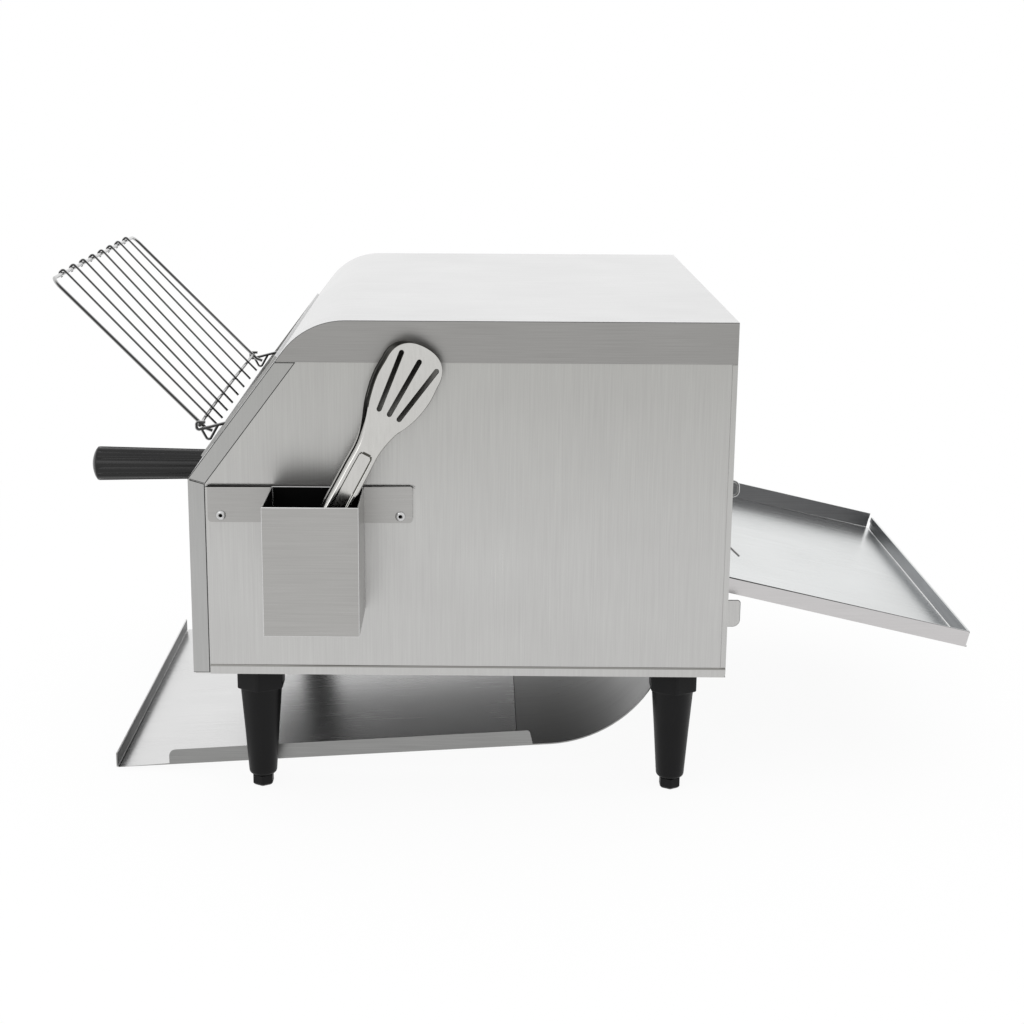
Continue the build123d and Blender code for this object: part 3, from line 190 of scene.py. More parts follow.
def turned(rows, centre, order=(0, 1, 2), around=72, flutes=None):
    """Points of a shape turned about an axis. Each row is (height, radius, hexagonal): the radius of a hexagonal
    row is divided by the cosine of the angle to the nearest flat, so that it is kept across the flats. A least
    cosine, a little over that of 30 degrees, blunts the corners."""
    least_cosine = 0.885
    rows = np.asarray(rows, float)
    angle = full_turn(around)[None, :]
    height, radius, six = rows[:, :1], rows[:, 1:2], rows[:, 2:3]
    flat = np.cos((angle % (np.pi / 3)) - np.pi / 6)
    radius = radius * ((1 - six) + six / np.maximum(flat, least_cosine))
    if flutes is not None:
        radius = radius - flutes(angle, height)
    grid = np.stack([radius * np.cos(angle), radius * np.sin(angle), height + 0 * angle], -1)
    return grid[..., order] + np.asarray(centre, float), quads(len(rows), around, wrap_columns=True)


def curve_rows(start, end, bulge, count=6, six=0):
    """Rows of a quarter-round between two (height, radius) points; bulge says which of the two moves first."""
    t = np.linspace(0, np.pi / 2, count)
    first, last = 1 - np.cos(t), np.sin(t)
    a, b = (last, first) if bulge == "height" else (first, last)
    return [
        (start[0] + (end[0] - start[0]) * p, start[1] + (end[1] - start[1]) * q, six) for p, q in zip(a, b)
    ]


leg_height = 105.5
legs = {
    "nf": ("near_front", 203.0, 49.4),
    "nr": ("near_rear", 203.0, 382.4),
    "ff": ("far_front", -203.0, 49.4),
    "fr": ("far_rear", -203.0, 382.4),
}
black_abs = moulded_plastic("moulded black ABS", "#0b0b0c", "#131314", 0.42, 0.9, 0.16)
leg_rows = (
    [(52.0, 5.1, 0), (10.1, 5.1, 0), (10.1, 9.2, 0)]
    + curve_rows((10.1, 9.2), (13.2, 11.4), "radius")
    + [(50.0, 14.0, 0), (82.5, 16.55, 0), (84.2, 16.9, 0)]
    + curve_rows((84.2, 16.9), (85.7, 17.6), "height", 4)
    + curve_rows((85.7, 17.6), (86.5, 18.2), "radius", 4, 1)
    + [(104.9, 18.2, 1), (leg_height, 17.7, 1), (leg_height, 4.0, 0), (106.6, 4.0, 0)]
    + [(106.6, 6.5, 1), (111.5, 6.5, 1), (111.5, 4.0, 0), (112.5, 4.0, 0), (112.5, 0.0, 0)]
)
leg_parts = [turned([(52.0, 0.0, 0)] + leg_rows, (x, y, 0)) for _, x, y in legs.values()]
whole("legs_moulded", leg_parts, [black_abs], "casing", ["legs"])
foot_rows = [(0.0, 0.0, 0), (0.0, 6.3, 1), (0.5, 7.0, 1), (1.8, 8.0, 1), (8.9, 8.0, 1), (9.5, 7.4, 1)]
foot_rows += [(9.5, 5.0, 0), (41.0, 5.0, 0), (41.5, 4.5, 0), (41.5, 0.0, 0)]
for short, (corner, x, y) in legs.items():
    name = "foot_" + corner
    whole(name + "_moulded", [turned(foot_rows, (x, y, 0))], [black_abs], "foot_" + short, [name])


# ---- Base, casing sheets and chamber ----
# Bent 1 mm stainless sheet, ground with a belt so that a fine straight grain shows. Laser cut, folded, and
# spot welded or screwed along small inner flanges. Inside the casing the sheet keeps its mill finish.
def brushed_steel(name, colour, dark, grain_mm, roughness=0.3, depth=0.3, top_shade=None):
    """Belt-ground stainless: grain as stretched noise, its size in millimetres along X, Y and Z; a real scratch is
    about 0.1 mm wide, and it is drawn coarser so that it shows. Broad patches are handling marks. A colour given for
    the top is a painted shade, multiplied in more and more towards the top of the casing."""
    patch_share = 0.3
    top_shade_start, top_shade_full = 0.2, 0.36
    material, tree, shader, place = surface(name)
    scale = tuple(1000.0 / size for size in grain_mm)
    along = add(tree, "ShaderNodeMapping", {"Vector": place, "Scale": scale}).outputs[0]
    grain = add(tree, "ShaderNodeTexNoise", {"Vector": along, "Scale": 1.0, "Detail": 4.0}).outputs["Fac"]
    cloud = add(tree, "ShaderNodeTexNoise", {"Vector": place, "Scale": 14.0, "Detail": 2.0}).outputs["Fac"]
    both = add(tree, "ShaderNodeMix", {0: patch_share, 2: grain, 3: cloud}, data_type="FLOAT").outputs[0]
    spread = add(tree, "ShaderNodeMapRange", {"Value": both, "From Min": 0.25, "From Max": 0.75}).outputs[0]
    tone = mixed(tree, spread, linear(dark), linear(colour))
    if top_shade:
        # Painted shade: the tone is multiplied darker from 0.2 m up to 0.36 m, towards the top of the casing.
        height = add(tree, "ShaderNodeSeparateXYZ", {0: place}).outputs["Z"]
        span = {"Value": height, "From Min": top_shade_start, "From Max": top_shade_full}
        heat = add(tree, "ShaderNodeMapRange", span).outputs[0]
        tone = mixed(tree, heat, tone, linear(top_shade), blend_type="MULTIPLY")
    rough = add(tree, "ShaderNodeMapRange", {"Value": spread, "To Min": roughness + 0.06, "To Max": roughness - 0.04})
    bump = add(tree, "ShaderNodeBump", {"Height": grain, "Strength": depth, "Distance": 0.00004})
    feed(tree, shader, {"Base Color": tone, "Roughness": rough.outputs[0], "Normal": bump.outputs[0], "Metallic": 1.0})
    return material


def bevel(piece, name, **settings):
    """Adds a bevel whose shading runs on into the faces next to it."""
    configured(piece.modifiers.new(name, "BEVEL"), harden_normals=True, **settings)


def dressed_copy(node, body, materials, edge=0.0003, smooth=32.0, choose=None, edge_slot=-1, marks=(), cuts=()):
    """A welded copy of a CAD node with flat areas cleaned, edges eased by a small bevel, and smooth rounds.
    choose says which material a face takes from its normal and its centre in the object's millimetres; cuts are
    levels along Y at which faces are divided first; each mark is (test, width in mm, slot), a wider bevel for the
    edges that pass a test of the normals of their two faces and of the edge's middle."""
    mesh = nodes[node].data.copy()
    shape = bmesh.new()
    shape.from_mesh(mesh)
    bmesh.ops.remove_doubles(shape, verts=shape.verts, dist=2e-6)
    bmesh.ops.dissolve_limit(shape, angle_limit=radians(0.4), verts=shape.verts, edges=shape.edges)
    for level in cuts:
        parts = shape.verts[:] + shape.edges[:] + shape.faces[:]
        bmesh.ops.bisect_plane(shape, geom=parts, plane_co=(0, front_y + level / 1000, 0), plane_no=(0, 1, 0))
    for count, (test, *_) in enumerate(marks):
        weight = shape.edges.layers.float.new(f"mark_{count}")
        for fold in shape.edges:
            middle = ((fold.verts[0].co + fold.verts[1].co) / 2 - Vector(origin)) * 1000
            if len(fold.link_faces) == 2 and test(fold.link_faces[0].normal, fold.link_faces[1].normal, middle):
                fold[weight] = 1.0
    shape.to_mesh(mesh)
    shape.free()
    mesh.materials.clear()
    for material in materials:
        mesh.materials.append(material)
    if choose:
        normals, centres = np.empty((2, len(mesh.polygons) * 3))
        mesh.polygons.foreach_get("normal", normals)
        mesh.polygons.foreach_get("center", centres)
        centres = (centres.reshape(-1, 3) - origin) * 1000.0
        mesh.polygons.foreach_set("material_index", choose(normals.reshape(-1, 3), centres).astype(np.int32))
    smoothed(mesh, smooth)
    piece = in_scene(node + "_dressed", mesh)
    for count, (_, width, slot) in enumerate(marks):
        strip = {"width": width / 1000, "segments": 3, "material": slot, "use_clamp_overlap": False}
        bevel(piece, f"mark {count}", limit_method="WEIGHT", edge_weight=f"mark_{count}", **strip)
    if edge:
        ease = {"width": edge, "segments": 2, "material": edge_slot}
        bevel(piece, "eased edges", limit_method="ANGLE", angle_limit=radians(smooth), **ease)
    piece.modifiers.new("area normals", "WEIGHTED_NORMAL").keep_sharp = True
    claim(piece, body, [node])


grain_up, grain_level, grain_wall = (0.7, 0.7, 45.0), (50.0, 50.0, 0.7), (50.0, 50.0, 0.8)
grain_long, grain_deep = (0.8, 50.0, 50.0), (0.9, 60.0, 60.0)
# The upright and front-flange steels are painted darker towards the top: a painted shade.
steel_upright = brushed_steel("belt-ground stainless, upright grain", "#c6c6c4", "#bab9b8", grain_up, top_shade="#ededeb")
steel_return = brushed_steel("belt-ground stainless, front flange", "#b4b4b3", "#aaaaa9", grain_up, top_shade="#f4f4f2")
steel_top = brushed_steel("belt-ground stainless, grain lengthwise", "#c7c7c7", "#bebebe", grain_long)
# The hood's top takes a paler copy of the steel, painted light where it faces up; its side band, with level grain,
# takes a darker copy, painted shade.
steel_hood = brushed_steel("belt-ground stainless, hood", "#d6d6d6", "#cecece", grain_long)
steel_band = brushed_steel("belt-ground stainless, level grain", "#9f9e9c", "#92918f", grain_level)
# Dark edge steel: the sheared edges of the strip and brackets, and a painted shade line along the hood's shoulder.
sheared_edge_and_shade = brushed_steel("sheared steel edge", "#6c6c6c", "#5a5a5a", (2.0, 2.0, 2.0), 0.4)
# Mid grey for the base pan's hem top: painted shade above the fold.
fold_painted_shade = brushed_steel("stainless fold, painted shade", "#94938f", "#868583", (30.0, 30.0, 1.0), 0.4)
painted_shadow_line = brushed_steel("shadow line of a folded seam", "#4c4c4c", "#404040", (20.0, 20.0, 20.0), 0.5, 0.1)
underside_painted_shade = brushed_steel("stainless in shade", "#343434", "#2a2a2a", (40.0, 1.0, 1.0), 0.4)
steel_inner = brushed_steel("mill-finish stainless", "#9a9a9a", "#858586", (14.0, 9.0, 11.0), 0.38, 0.2)
steel_turned = brushed_steel("turned steel", "#a8a8a8", "#8d8d8e", (0.8, 6.0, 6.0), 0.3, 0.2)

half_width = 234.0


def side_faces(normal, centre):
    """Slot 1 for the faces that look sideways."""
    return np.where(np.abs(normal[:, 0]) > 0.9, 1, 0)


def pan_faces(normal, centre):
    """Slot 1, a dark painted shade, for the faces that look down."""
    return np.where(normal[:, 2] < -0.9, 1, 0)


def side_first(one, other):
    """The normals of an edge's two faces, with that of a side face first."""
    return (one, other) if abs(one.x) > 0.9 else (other, one)


def shoulder(one, other, middle):
    """True for an edge between a side and a face that looks up or to the front; on the hood this bend is drawn in the
    dark edge steel as a painted shade line.
    """
    side, face = side_first(one, other)
    return abs(side.x) > 0.9 and abs(face.x) < 0.1 and face.z > -0.5 and (face.z > 0.2 or face.y < -0.5)


def flange_seam(one, other, middle):
    """True for the rear edge of the front panel's side flange and for its mitre, drawn as a dark painted shadow line.
    """
    side, face = side_first(one, other)
    return abs(side.x) > 0.9 and abs(face.x) < 0.1 and abs(middle.x) > half_width - 0.1 and middle.y > 1.0


def hem_top(one, other, middle):
    """True for the upper edge of the base pan's folded hem, which is drawn in a darker steel as painted shade."""
    side, face = side_first(one, other)
    return abs(side.x) > 0.9 and face.z > 0.9 and abs(middle.x) > half_width - 0.1


pan_steels = [steel_upright, underside_painted_shade, fold_painted_shade]
dressed_copy("base_pan", "casing", pan_steels, choose=pan_faces, marks=[(hem_top, 1.5, 2)])
dressed_copy("side_panel_right", "casing", [steel_upright])
dressed_copy("side_panel_left", "casing", [steel_upright])
dressed_copy("hood", "casing", [steel_hood, steel_band, sheared_edge_and_shade], choose=side_faces, marks=[(shoulder, 0.5, 2)])
panel_steels = [steel_top, steel_return, painted_shadow_line]
dressed_copy("front_panel", "casing", panel_steels, choose=side_faces, marks=[(flange_seam, 0.6, 2)])
dressed_copy("rear_panel", "casing", [steel_upright])
dressed_copy("casing_screws", "casing", [steel_turned])
for name in ("chamber_wall_right", "chamber_wall_left", "top_reflector", "lower_reflector", "lower_partition"):
    dressed_copy(name, "casing", [steel_inner])


# ---- Conveyor belt ----
# Flat-flex belt of 2.3 mm stainless wire: each strand runs across and is crimped into four hooks that reach over
# the next strand, so that the belt bends round its shafts. Drawn bright, with the brown bloom of heat.
belt_pitch = 12.7
belt_count = 58
belt_half = 170.0
wire_radius = 1.15
front_shaft_y = 38.0
shaft_z = 256.2
belt_radius = belt_pitch * 12 / (2 * np.pi)
belt_straight = (belt_count * belt_pitch - 2 * np.pi * belt_radius) / 2


def around_belt(across, lap, lift):
    """Belt coordinates (across, distance along the loop, height over it) turned to places: two straight runs and
    two half circles, each chosen by where the distance falls."""
    arc = np.pi * belt_radius
    lap = lap % (2 * belt_straight + 2 * arc)
    rear_y = front_shaft_y + belt_straight
    turn = np.where(lap < belt_straight + arc, lap - belt_straight, lap - 2 * belt_straight - arc) / belt_radius
    reach = belt_radius + lift
    run = [lap < belt_straight, lap < belt_straight + arc, lap < 2 * belt_straight + arc]
    y = [front_shaft_y + lap, rear_y + reach * np.sin(turn), rear_y - (lap - belt_straight - arc)]
    z = [shaft_z + reach, shaft_z + reach * np.cos(turn), shaft_z - reach]
    y = np.select(run, y, front_shaft_y - reach * np.sin(turn))
    z = np.select(run, z, shaft_z - reach * np.cos(turn))
    return np.stack([across + 0 * y, y, z], -1)


def rounded(points, radii, per=5):
    """A path with each inner corner replaced by an arc of its radius, turned from one run into the next."""
    points = np.asarray(points, float)
    path = [points[:1]]
    for before, corner, after, radius in zip(points[:-2], points[1:-1], points[2:], radii):
        back = (before - corner) / np.linalg.norm(before - corner)
        onward = (after - corner) / np.linalg.norm(after - corner)
        half = np.arccos(np.clip(back @ onward, -1, 1)) / 2
        start = back * radius / np.tan(half)
        middle = (back + onward) / np.linalg.norm(back + onward) * radius / np.sin(half)
        spoke = start - middle
        side = onward - (onward @ spoke) * spoke / (spoke @ spoke)
        side = side / np.linalg.norm(side) * radius
        angle = np.linspace(0, np.pi - 2 * half, per)[:, None]
        path.append(corner + middle + spoke * np.cos(angle) + side * np.sin(angle))
    path.append(points[-1:])
    return np.concatenate(path)


def tube(path, radius, upright, around=10):
    """Round wire: a circle carried along a path. Its two axes are the cross product of the path's direction with
    the upright, and of that with the direction. Both ends close in a shallow dome."""
    path = np.asarray(path, float)
    direction = np.gradient(path, axis=0)
    direction /= np.linalg.norm(direction, axis=1, keepdims=True)
    side = np.cross(direction, np.asarray(upright, float))
    side /= np.linalg.norm(side, axis=1, keepdims=True)
    other = np.cross(side, direction)
    dome = np.array([0.0, 0.6, 0.9])
    sink = radius * (1 - np.sqrt(1 - dome**2))
    size = np.concatenate([dome, np.ones(len(path) - 2), dome[::-1]]) * radius
    pick = np.concatenate([[0, 0, 0], np.arange(1, len(path) - 1), [-1, -1, -1]])
    shift = np.concatenate([sink, np.zeros(len(path) - 2), -sink[::-1]])[:, None]
    angle = full_turn(around)[None, :, None]
    ring = side[pick][:, None] * np.cos(angle) + other[pick][:, None] * np.sin(angle)
    grid = (path[pick] + direction[pick] * shift)[:, None] + ring * size[:, None, None]
    return grid, quads(len(pick), around, wrap_columns=True)


def strand_path(shift):
    """One strand in belt coordinates: straight across, with hooks that step one pitch on and over the next wire."""
    corners = [(-belt_half, 0.0, 0.0)]
    for spot in (-163.0, -55.0, 55.0, 163.0):
        spot += shift
        corners += [(spot - 3.4, 0.0, 0.0), (spot - 2.6, belt_pitch + 1.6, 1.2)]
        corners += [(spot + 2.6, belt_pitch + 1.6, 1.2), (spot + 3.4, 0.0, 0.0)]
    corners.append((belt_half, 0.0, 0.0))
    return rounded(corners, [1.2, 2.2, 2.2, 1.2] * 4, 4)


belt_steel = brushed_steel("drawn stainless wire, heat-tinted", "#a39b90", "#877c70", (9.0, 3.0, 3.0), 0.26, 0.1)
strands = []
for i in range(belt_count):
    grid, faces = tube(strand_path(1.9 if i % 2 else -1.9), wire_radius, (0, 0, 1), 8)
    strands.append((around_belt(grid[..., 0], grid[..., 1] + i * belt_pitch, grid[..., 2]), faces))
whole("belt_strands", strands, [belt_steel], "casing", ["conveyor_belt", "belt_side_links"])


# ---- Belt drive ----
# Turned steel shafts in flanged bushes, a plate sprocket and roller chain from a small gear motor, and a square
# cooling fan over the slots in the base. The chain's rollers and paired plates are stamped and riveted.
motor_y, motor_z, small_radius = 205.0, 146.5, 17.3
big_y, big_z, big_radius = front_shaft_y + belt_straight, shaft_z, 32.3
chain_x = -202.0


def chain_places(count):
    """Places and slopes evenly along a loop of two tangents and two arcs round wheels of unequal radius."""
    span = np.hypot(big_y - motor_y, big_z - motor_z)
    heading = np.arctan2(big_z - motor_z, big_y - motor_y)
    spread = np.arcsin((big_radius - small_radius) / span)
    straight = span * np.cos(spread)
    big_arc = big_radius * (np.pi + 2 * spread)
    small_arc = small_radius * (np.pi - 2 * spread)
    total = 2 * straight + big_arc + small_arc
    at = np.arange(count) * total / count
    first = heading - np.pi / 2 - spread
    lower = np.array([motor_y, motor_z]) + small_radius * np.array([np.cos(first), np.sin(first)])
    along = np.array([-np.sin(first), np.cos(first)])
    past = at - straight - big_arc
    turn = first + (at - straight) / big_radius
    last = heading + np.pi / 2 + spread
    upper = np.array([big_y, big_z]) + big_radius * np.array([np.cos(last), np.sin(last)])
    back = np.array([-np.sin(last), np.cos(last)])
    end_turn = last + (at - 2 * straight - big_arc) / small_radius
    zone = [at < straight, at < straight + big_arc, at < 2 * straight + big_arc]
    y = [lower[0] + along[0] * at, big_y + big_radius * np.cos(turn), upper[0] + back[0] * past]
    z = [lower[1] + along[1] * at, big_z + big_radius * np.sin(turn), upper[1] + back[1] * past]
    y = np.select(zone, y, motor_y + small_radius * np.cos(end_turn))
    z = np.select(zone, z, motor_z + small_radius * np.sin(end_turn))
    slope = np.select(zone, [first + 0 * at, turn, last + 0 * at], end_turn) + np.pi / 2
    return y, z, slope, total / count


link_y, link_z, link_slope, link_length = chain_places(66)
chain_parts = []
plate_radius = 1.75
for offset, phase in ((-2.1, 0), (2.1, 0), (-1.3, 1), (1.3, 1)):
    angle = full_turn(12)
    waist = np.sign(np.cos(angle)) * link_length / 2 + plate_radius * np.cos(angle)
    edge = np.stack([waist, plate_radius * np.sin(angle)], -1)
    plate_rows = np.stack([edge * 0, edge, edge, edge * 0])
    level = np.array([-0.3, -0.3, 0.3, 0.3])[:, None] + offset + 0 * angle
    for y, z, slope in zip(link_y[phase::2], link_z[phase::2], link_slope[phase::2]):
        run = plate_rows[..., 0] + link_length / 2
        y_place = y + run * np.cos(slope) - plate_rows[..., 1] * np.sin(slope)
        z_place = z + run * np.sin(slope) + plate_rows[..., 1] * np.cos(slope)
        chain_parts.append((np.stack([chain_x + level, y_place, z_place], -1), quads(4, 12, wrap_columns=True)))
pin_rows = [(-2.5, 0, 0), (-2.5, 0.8, 0), (-1.0, 0.8, 0), (-1.0, 1.4, 0), (1.0, 1.4, 0), (1.0, 0.8, 0)]
pin_rows += [(2.5, 0.8, 0), (2.5, 0, 0)]
chain_parts += [turned(pin_rows, (chain_x, y, z), (2, 0, 1), 10) for y, z in zip(link_y, link_z)]
chain_steel = brushed_steel("oiled chain steel", "#6f6b66", "#4f4b47", (3.0, 3.0, 3.0), 0.34, 0.2)
whole("drive_chain_links", chain_parts, [chain_steel], "casing", ["drive_chain"], 40.0)

motor_casting = brushed_steel("die-cast aluminium", "#a9a9aa", "#969697", (1.2, 1.2, 1.2), 0.45, 0.5)
turned_nodes = {
    "drive": ("drive_shaft", "drive_sprockets", "shaft_sprocket"),
    "idler": ("idler_shaft", "idler_rollers"),
    "motor": ("motor_sprocket",),
    "casing": ("shaft_bushes",),
}
for body, names in turned_nodes.items():
    for name in names:
        dressed_copy(name, body, [steel_turned], 0.0002)
dressed_copy("belt_rails", "casing", [steel_inner])
dressed_copy("gearmotor", "casing", [motor_casting], 0.0006)
dressed_copy("fan_frame", "casing", [black_abs])
dressed_copy("fan_rotor", "fan", [black_abs])


# ---- Heaters and wiring ----
# Tubular elements in a heat-resisting sheath that has oxidised to brown, held by pressed steatite collars; the
# controls sit in pale polyamide bodies behind the front panel, and the mains comes in through a gland.
heater_sheath = brushed_steel("oxidised heater sheath", "#4a4540", "#37332f", (5.0, 2.0, 2.0), 0.45, 0.3)
steatite = moulded_plastic("pressed steatite", "#d8d3c6", "#c8c2b4", 0.55, 0.5)
polyamide = moulded_plastic("moulded pale polyamide", "#cfcbc0", "#c4c0b5", 0.5, 0.6)
dressed_copy("upper_heaters", "casing", [heater_sheath])
dressed_copy("lower_heaters", "casing", [heater_sheath])
dressed_copy("heater_holders", "casing", [steatite])
for name in ("heat_selector", "speed_control", "terminal_block"):
    dressed_copy(name, "casing", [polyamide])
dressed_copy("cable_gland", "casing", [black_abs], 0.0006)


# ---- Crumb tray and its handle ----
# A shallow folded tray on two runners, pulled by a round phenolic grip that stands out from its front: twelve
# flutes along it, slightly thicker towards its domed end.
phenolic = moulded_plastic("moulded black phenolic", "#040405", "#09090a", 0.24, 1.2, 0.36)
grip_length, grip_z, flute_count = 123.0, 221.5, 12


def grip_flutes(angle, height):
    """Depth of the flutes: a raised cosine round the grip, cut to its upper part, faded out near both ends."""
    wave = np.clip(np.cos(flute_count * angle) * 1.3 - 0.1, 0, None)
    fade = np.clip((height - 3) / 5, 0, 1) * np.clip((116.5 - height) / 3, 0, 1)
    return 0.85 * wave * fade


grip_rows = [(0.0, 0.0, 0), (0.0, 12.2, 0)] + curve_rows((0.0, 12.2), (0.8, 13.0), "radius", 4)
grip_rows += [(s, 13.0 + 2.5 * s / grip_length, 0) for s in np.linspace(1.5, 116.8, 48)]
dome_start = 117.2
dome_angle = np.linspace(np.arcsin(15.3 / 29.0), 0, 9)
grip_rows += curve_rows((dome_start - 0.4, 15.4), (dome_start + 1.1, 14.9), "height", 4)
grip_rows += [(94.0 + 29.0 * np.cos(a), 29.0 * np.sin(a) * 0.975, 0) for a in dome_angle[1:]]
grip, grip_faces = turned(grip_rows, (0, 0, 0), (0, 1, 2), 216, grip_flutes)
grip = np.stack([grip[..., 0], -1.5 - grip[..., 2], grip_z + grip[..., 1]], -1)
whole("crumb_tray_grip", [(grip, grip_faces)], [phenolic], "crumb_drawer", ["crumb_tray_handle"], 50.0)
dressed_copy("crumb_tray", "crumb_drawer", [steel_top])
dressed_copy("crumb_tray_runners", "casing", [steel_inner])


# ---- Controls ----
# Two moulded knobs with a finger bar and a white painted line, turning against scales that are screen-printed on
# the front; a rocker switch with I and O printed on it, and a neon lamp behind an amber cap in a bright bezel.
control_z, rocker_x, lamp_x = 154.5, 10.0, 60.0
number_radius, rocker_tip = 27.5, -8.0
white_ink = moulded_plastic("white screen ink", "#e9e9e6", "#dededb", 0.5, 0.8)
black_ink = moulded_plastic("black screen ink", "#17171a", "#222226", 0.5, 0.8, 0.2)


def knob_flutes(angle, height):
    """Depth of the finger grooves: a raised cosine round the knob's grip, faded out at its front edge."""
    wave = np.clip(np.cos(24 * angle), 0, None)
    return 0.5 * wave * np.clip((height - 5.2) / 1.0, 0, 1) * np.clip((19.2 - height) / 1.5, 0, 1)


def finger_bar(x):
    """Rounded bar over the knob's face: a superellipsoid, its cosines and sines raised to a power below one."""
    turn = full_turn(48)[None, :]
    rise = np.linspace(-np.pi / 2, np.pi / 2, 22)[:, None]

    def soft(value):
        return np.sign(value) * np.abs(value) ** 0.3

    across = 3.0 * soft(np.cos(rise)) * soft(np.cos(turn))
    along = 14.5 * soft(np.cos(rise)) * soft(np.sin(turn))
    out = 8.4 * soft(np.sin(rise)) + 0 * turn
    grid = np.stack([x + across, -14.8 - out, control_z + 1.5 + along], -1)
    return grid, quads(22, 48, wrap_columns=True)


def printed(name, text, size, spots, body, level, material):
    """Printed words: each is set flat, centred on its (x, z) spot, and lies on the surface at its level in y."""
    points, faces, count = [], [], 0
    for word, (x, z) in zip(text, spots):
        letters = bpy.data.curves.new("letters", "FONT")
        holder = in_scene("letters", configured(letters, body=word, size=size, align_x="CENTER", align_y="CENTER"))
        bpy.context.view_layer.update()
        flat = bpy.data.meshes.new_from_object(holder.evaluated_get(bpy.context.evaluated_depsgraph_get()))
        place = np.empty(len(flat.vertices) * 3)
        flat.vertices.foreach_get("co", place)
        place = place.reshape(-1, 3)
        points.append(np.stack([x + place[:, 0], 0 * place[:, 0] + level, z + place[:, 1]], -1))
        faces += [[v + count for v in face.vertices] for face in flat.polygons]
        count += len(place)
        bpy.data.objects.remove(holder)
    mesh = bpy.data.meshes.new(name)
    mesh.from_pydata(placed(np.concatenate(points)).tolist(), [], faces)
    mesh.materials.append(material)
    claim(in_scene(name, mesh), body)


box_faces = np.concatenate([quads(2, 4, wrap_columns=True), [[0, 1, 2, 3], [7, 6, 5, 4]]])


def ticks(name, x, angles, inner, outer, width):
    """Printed scale lines: thin upright slabs turned about the knob's axis to their angles, as whole arrays."""
    turn = np.radians(np.asarray(angles, float))[:, None, None]
    radius = np.array([inner, inner, outer, outer])[None, None, :]
    side = np.array([-1, 1, 1, -1])[None, None, :] * width / 2
    level = np.array([-0.02, -0.07])[None, :, None]
    across = x + radius * np.sin(turn) + side * np.cos(turn)
    up = control_z + radius * np.cos(turn) - side * np.sin(turn)
    grid = np.stack([across + 0 * level, level + 0 * across, up + 0 * level], -1)
    whole(name, [(block, box_faces) for block in grid], [black_ink], "casing")


for control, body, x, words, step in (
    ("heat", "heat_dial", -60.0, "0123", 60.0),
    ("speed", "speed_dial", -130.0, "1234567", 36.0),
):
    rows = [(-14.0, 0, 0), (-14.0, 3.0, 0), (1.2, 3.0, 0), (1.2, 17.8, 0)]
    rows += curve_rows((1.2, 18.4), (1.9, 19.0), "radius", 4) + curve_rows((4.4, 19.0), (5.2, 18.2), "height", 4)
    rows += [(5.2, 16.2, 0), (5.6, 15.6, 0)] + [(s, 15.5, 0) for s in np.linspace(6.2, 19.5, 12)]
    rows += curve_rows((19.6, 15.4), (21.2, 13.8), "height", 5) + [(21.2, 8.0, 0), (21.2, 0.0, 0)]
    round_part, round_faces = turned(rows, (0, 0, 0), (0, 1, 2), 192, knob_flutes)
    round_part = np.stack([x + round_part[..., 0], -round_part[..., 2], control_z + round_part[..., 1]], -1)
    knob_parts = [(round_part, round_faces), finger_bar(x)]
    whole(control + "_knob_moulded", knob_parts, [black_abs], body, [control + "_knob"], 50.0)
    corners = ((-0.7, 3.0), (0.7, 3.0), (0.7, 14.5), (-0.7, 14.5))
    slab = [(x + side, level, control_z + up) for level in (-22.75, -23.25) for side, up in corners]
    whole(control + "_knob_line", [(slab, box_faces)], [white_ink], body)
    angles = (np.arange(len(words)) - (len(words) - 1) / 2) * step
    fine = np.linspace(angles[0], angles[-1], (len(words) - 1) * 4 + 1)
    ticks(control + "_scale_lines", x, angles, 20.5, 23.0, 0.7)
    ticks(control + "_scale_fine_lines", x, fine, 20.5, 21.8, 0.35)
    spots = [(x + number_radius * np.sin(radians(a)), control_z + number_radius * np.cos(radians(a))) for a in angles]
    printed(control + "_scale_numbers", words, 6.5, spots, "casing", -0.05, black_ink)


def turn_about(axis, degrees):
    """Rotation matrix about one of the three axes."""
    c, s = np.cos(radians(degrees)), np.sin(radians(degrees))
    a, b = [(1, 2), (2, 0), (0, 1)][axis]
    matrix = np.eye(3)
    matrix[a, a], matrix[a, b], matrix[b, a], matrix[b, b] = c, -s, s, c
    return matrix


def on_rocker(across, up):
    """A mark 0.1 mm thick from rows of its outline, laid on the rocker's dished face and tipped with the rocker."""
    level = -5.6 - 1.9 * np.abs(up) / 8.1 + np.array([0.05, -0.05, -0.05, 0.05])[:, None]
    return np.stack([across, level, up], -1) @ turn_about(0, rocker_tip).T + [rocker_x, 4.0, control_z]


green_cap = moulded_plastic("moulded green polycarbonate", "#0d4f14", "#13591a", 0.16, 3.0, 0.5)
dressed_copy("switch_housing", "casing", [black_abs])
dressed_copy("power_rocker", "rocker", [green_cap], 0.0005)
ring_turn = full_turn(48)[None, :]
ring_radius = np.array([2.1, 2.1, 1.4, 1.4])[:, None]
ring = on_rocker(ring_radius * np.sin(ring_turn), ring_radius * np.cos(ring_turn) - 4.4)
bar_half = np.array([0.4, 0.4, -0.4, -0.4])[:, None]
bar = on_rocker(bar_half + np.zeros((1, 6)), 4.4 + np.linspace(-2.1, 2.1, 6)[None, :] + 0 * bar_half)
bar_faces = np.concatenate([quads(4, 6, wrap_rows=True), [[0, 6, 12, 18], [23, 17, 11, 5]]])
marks = [(ring, quads(4, 48, wrap_rows=True, wrap_columns=True)), (bar, bar_faces)]
whole("rocker_marks", marks, [white_ink], "rocker")
lamp_bezel = brushed_steel("chromed bezel", "#c9c9ca", "#bdbdbe", (2.0, 2.0, 2.0), 0.14, 0.05)
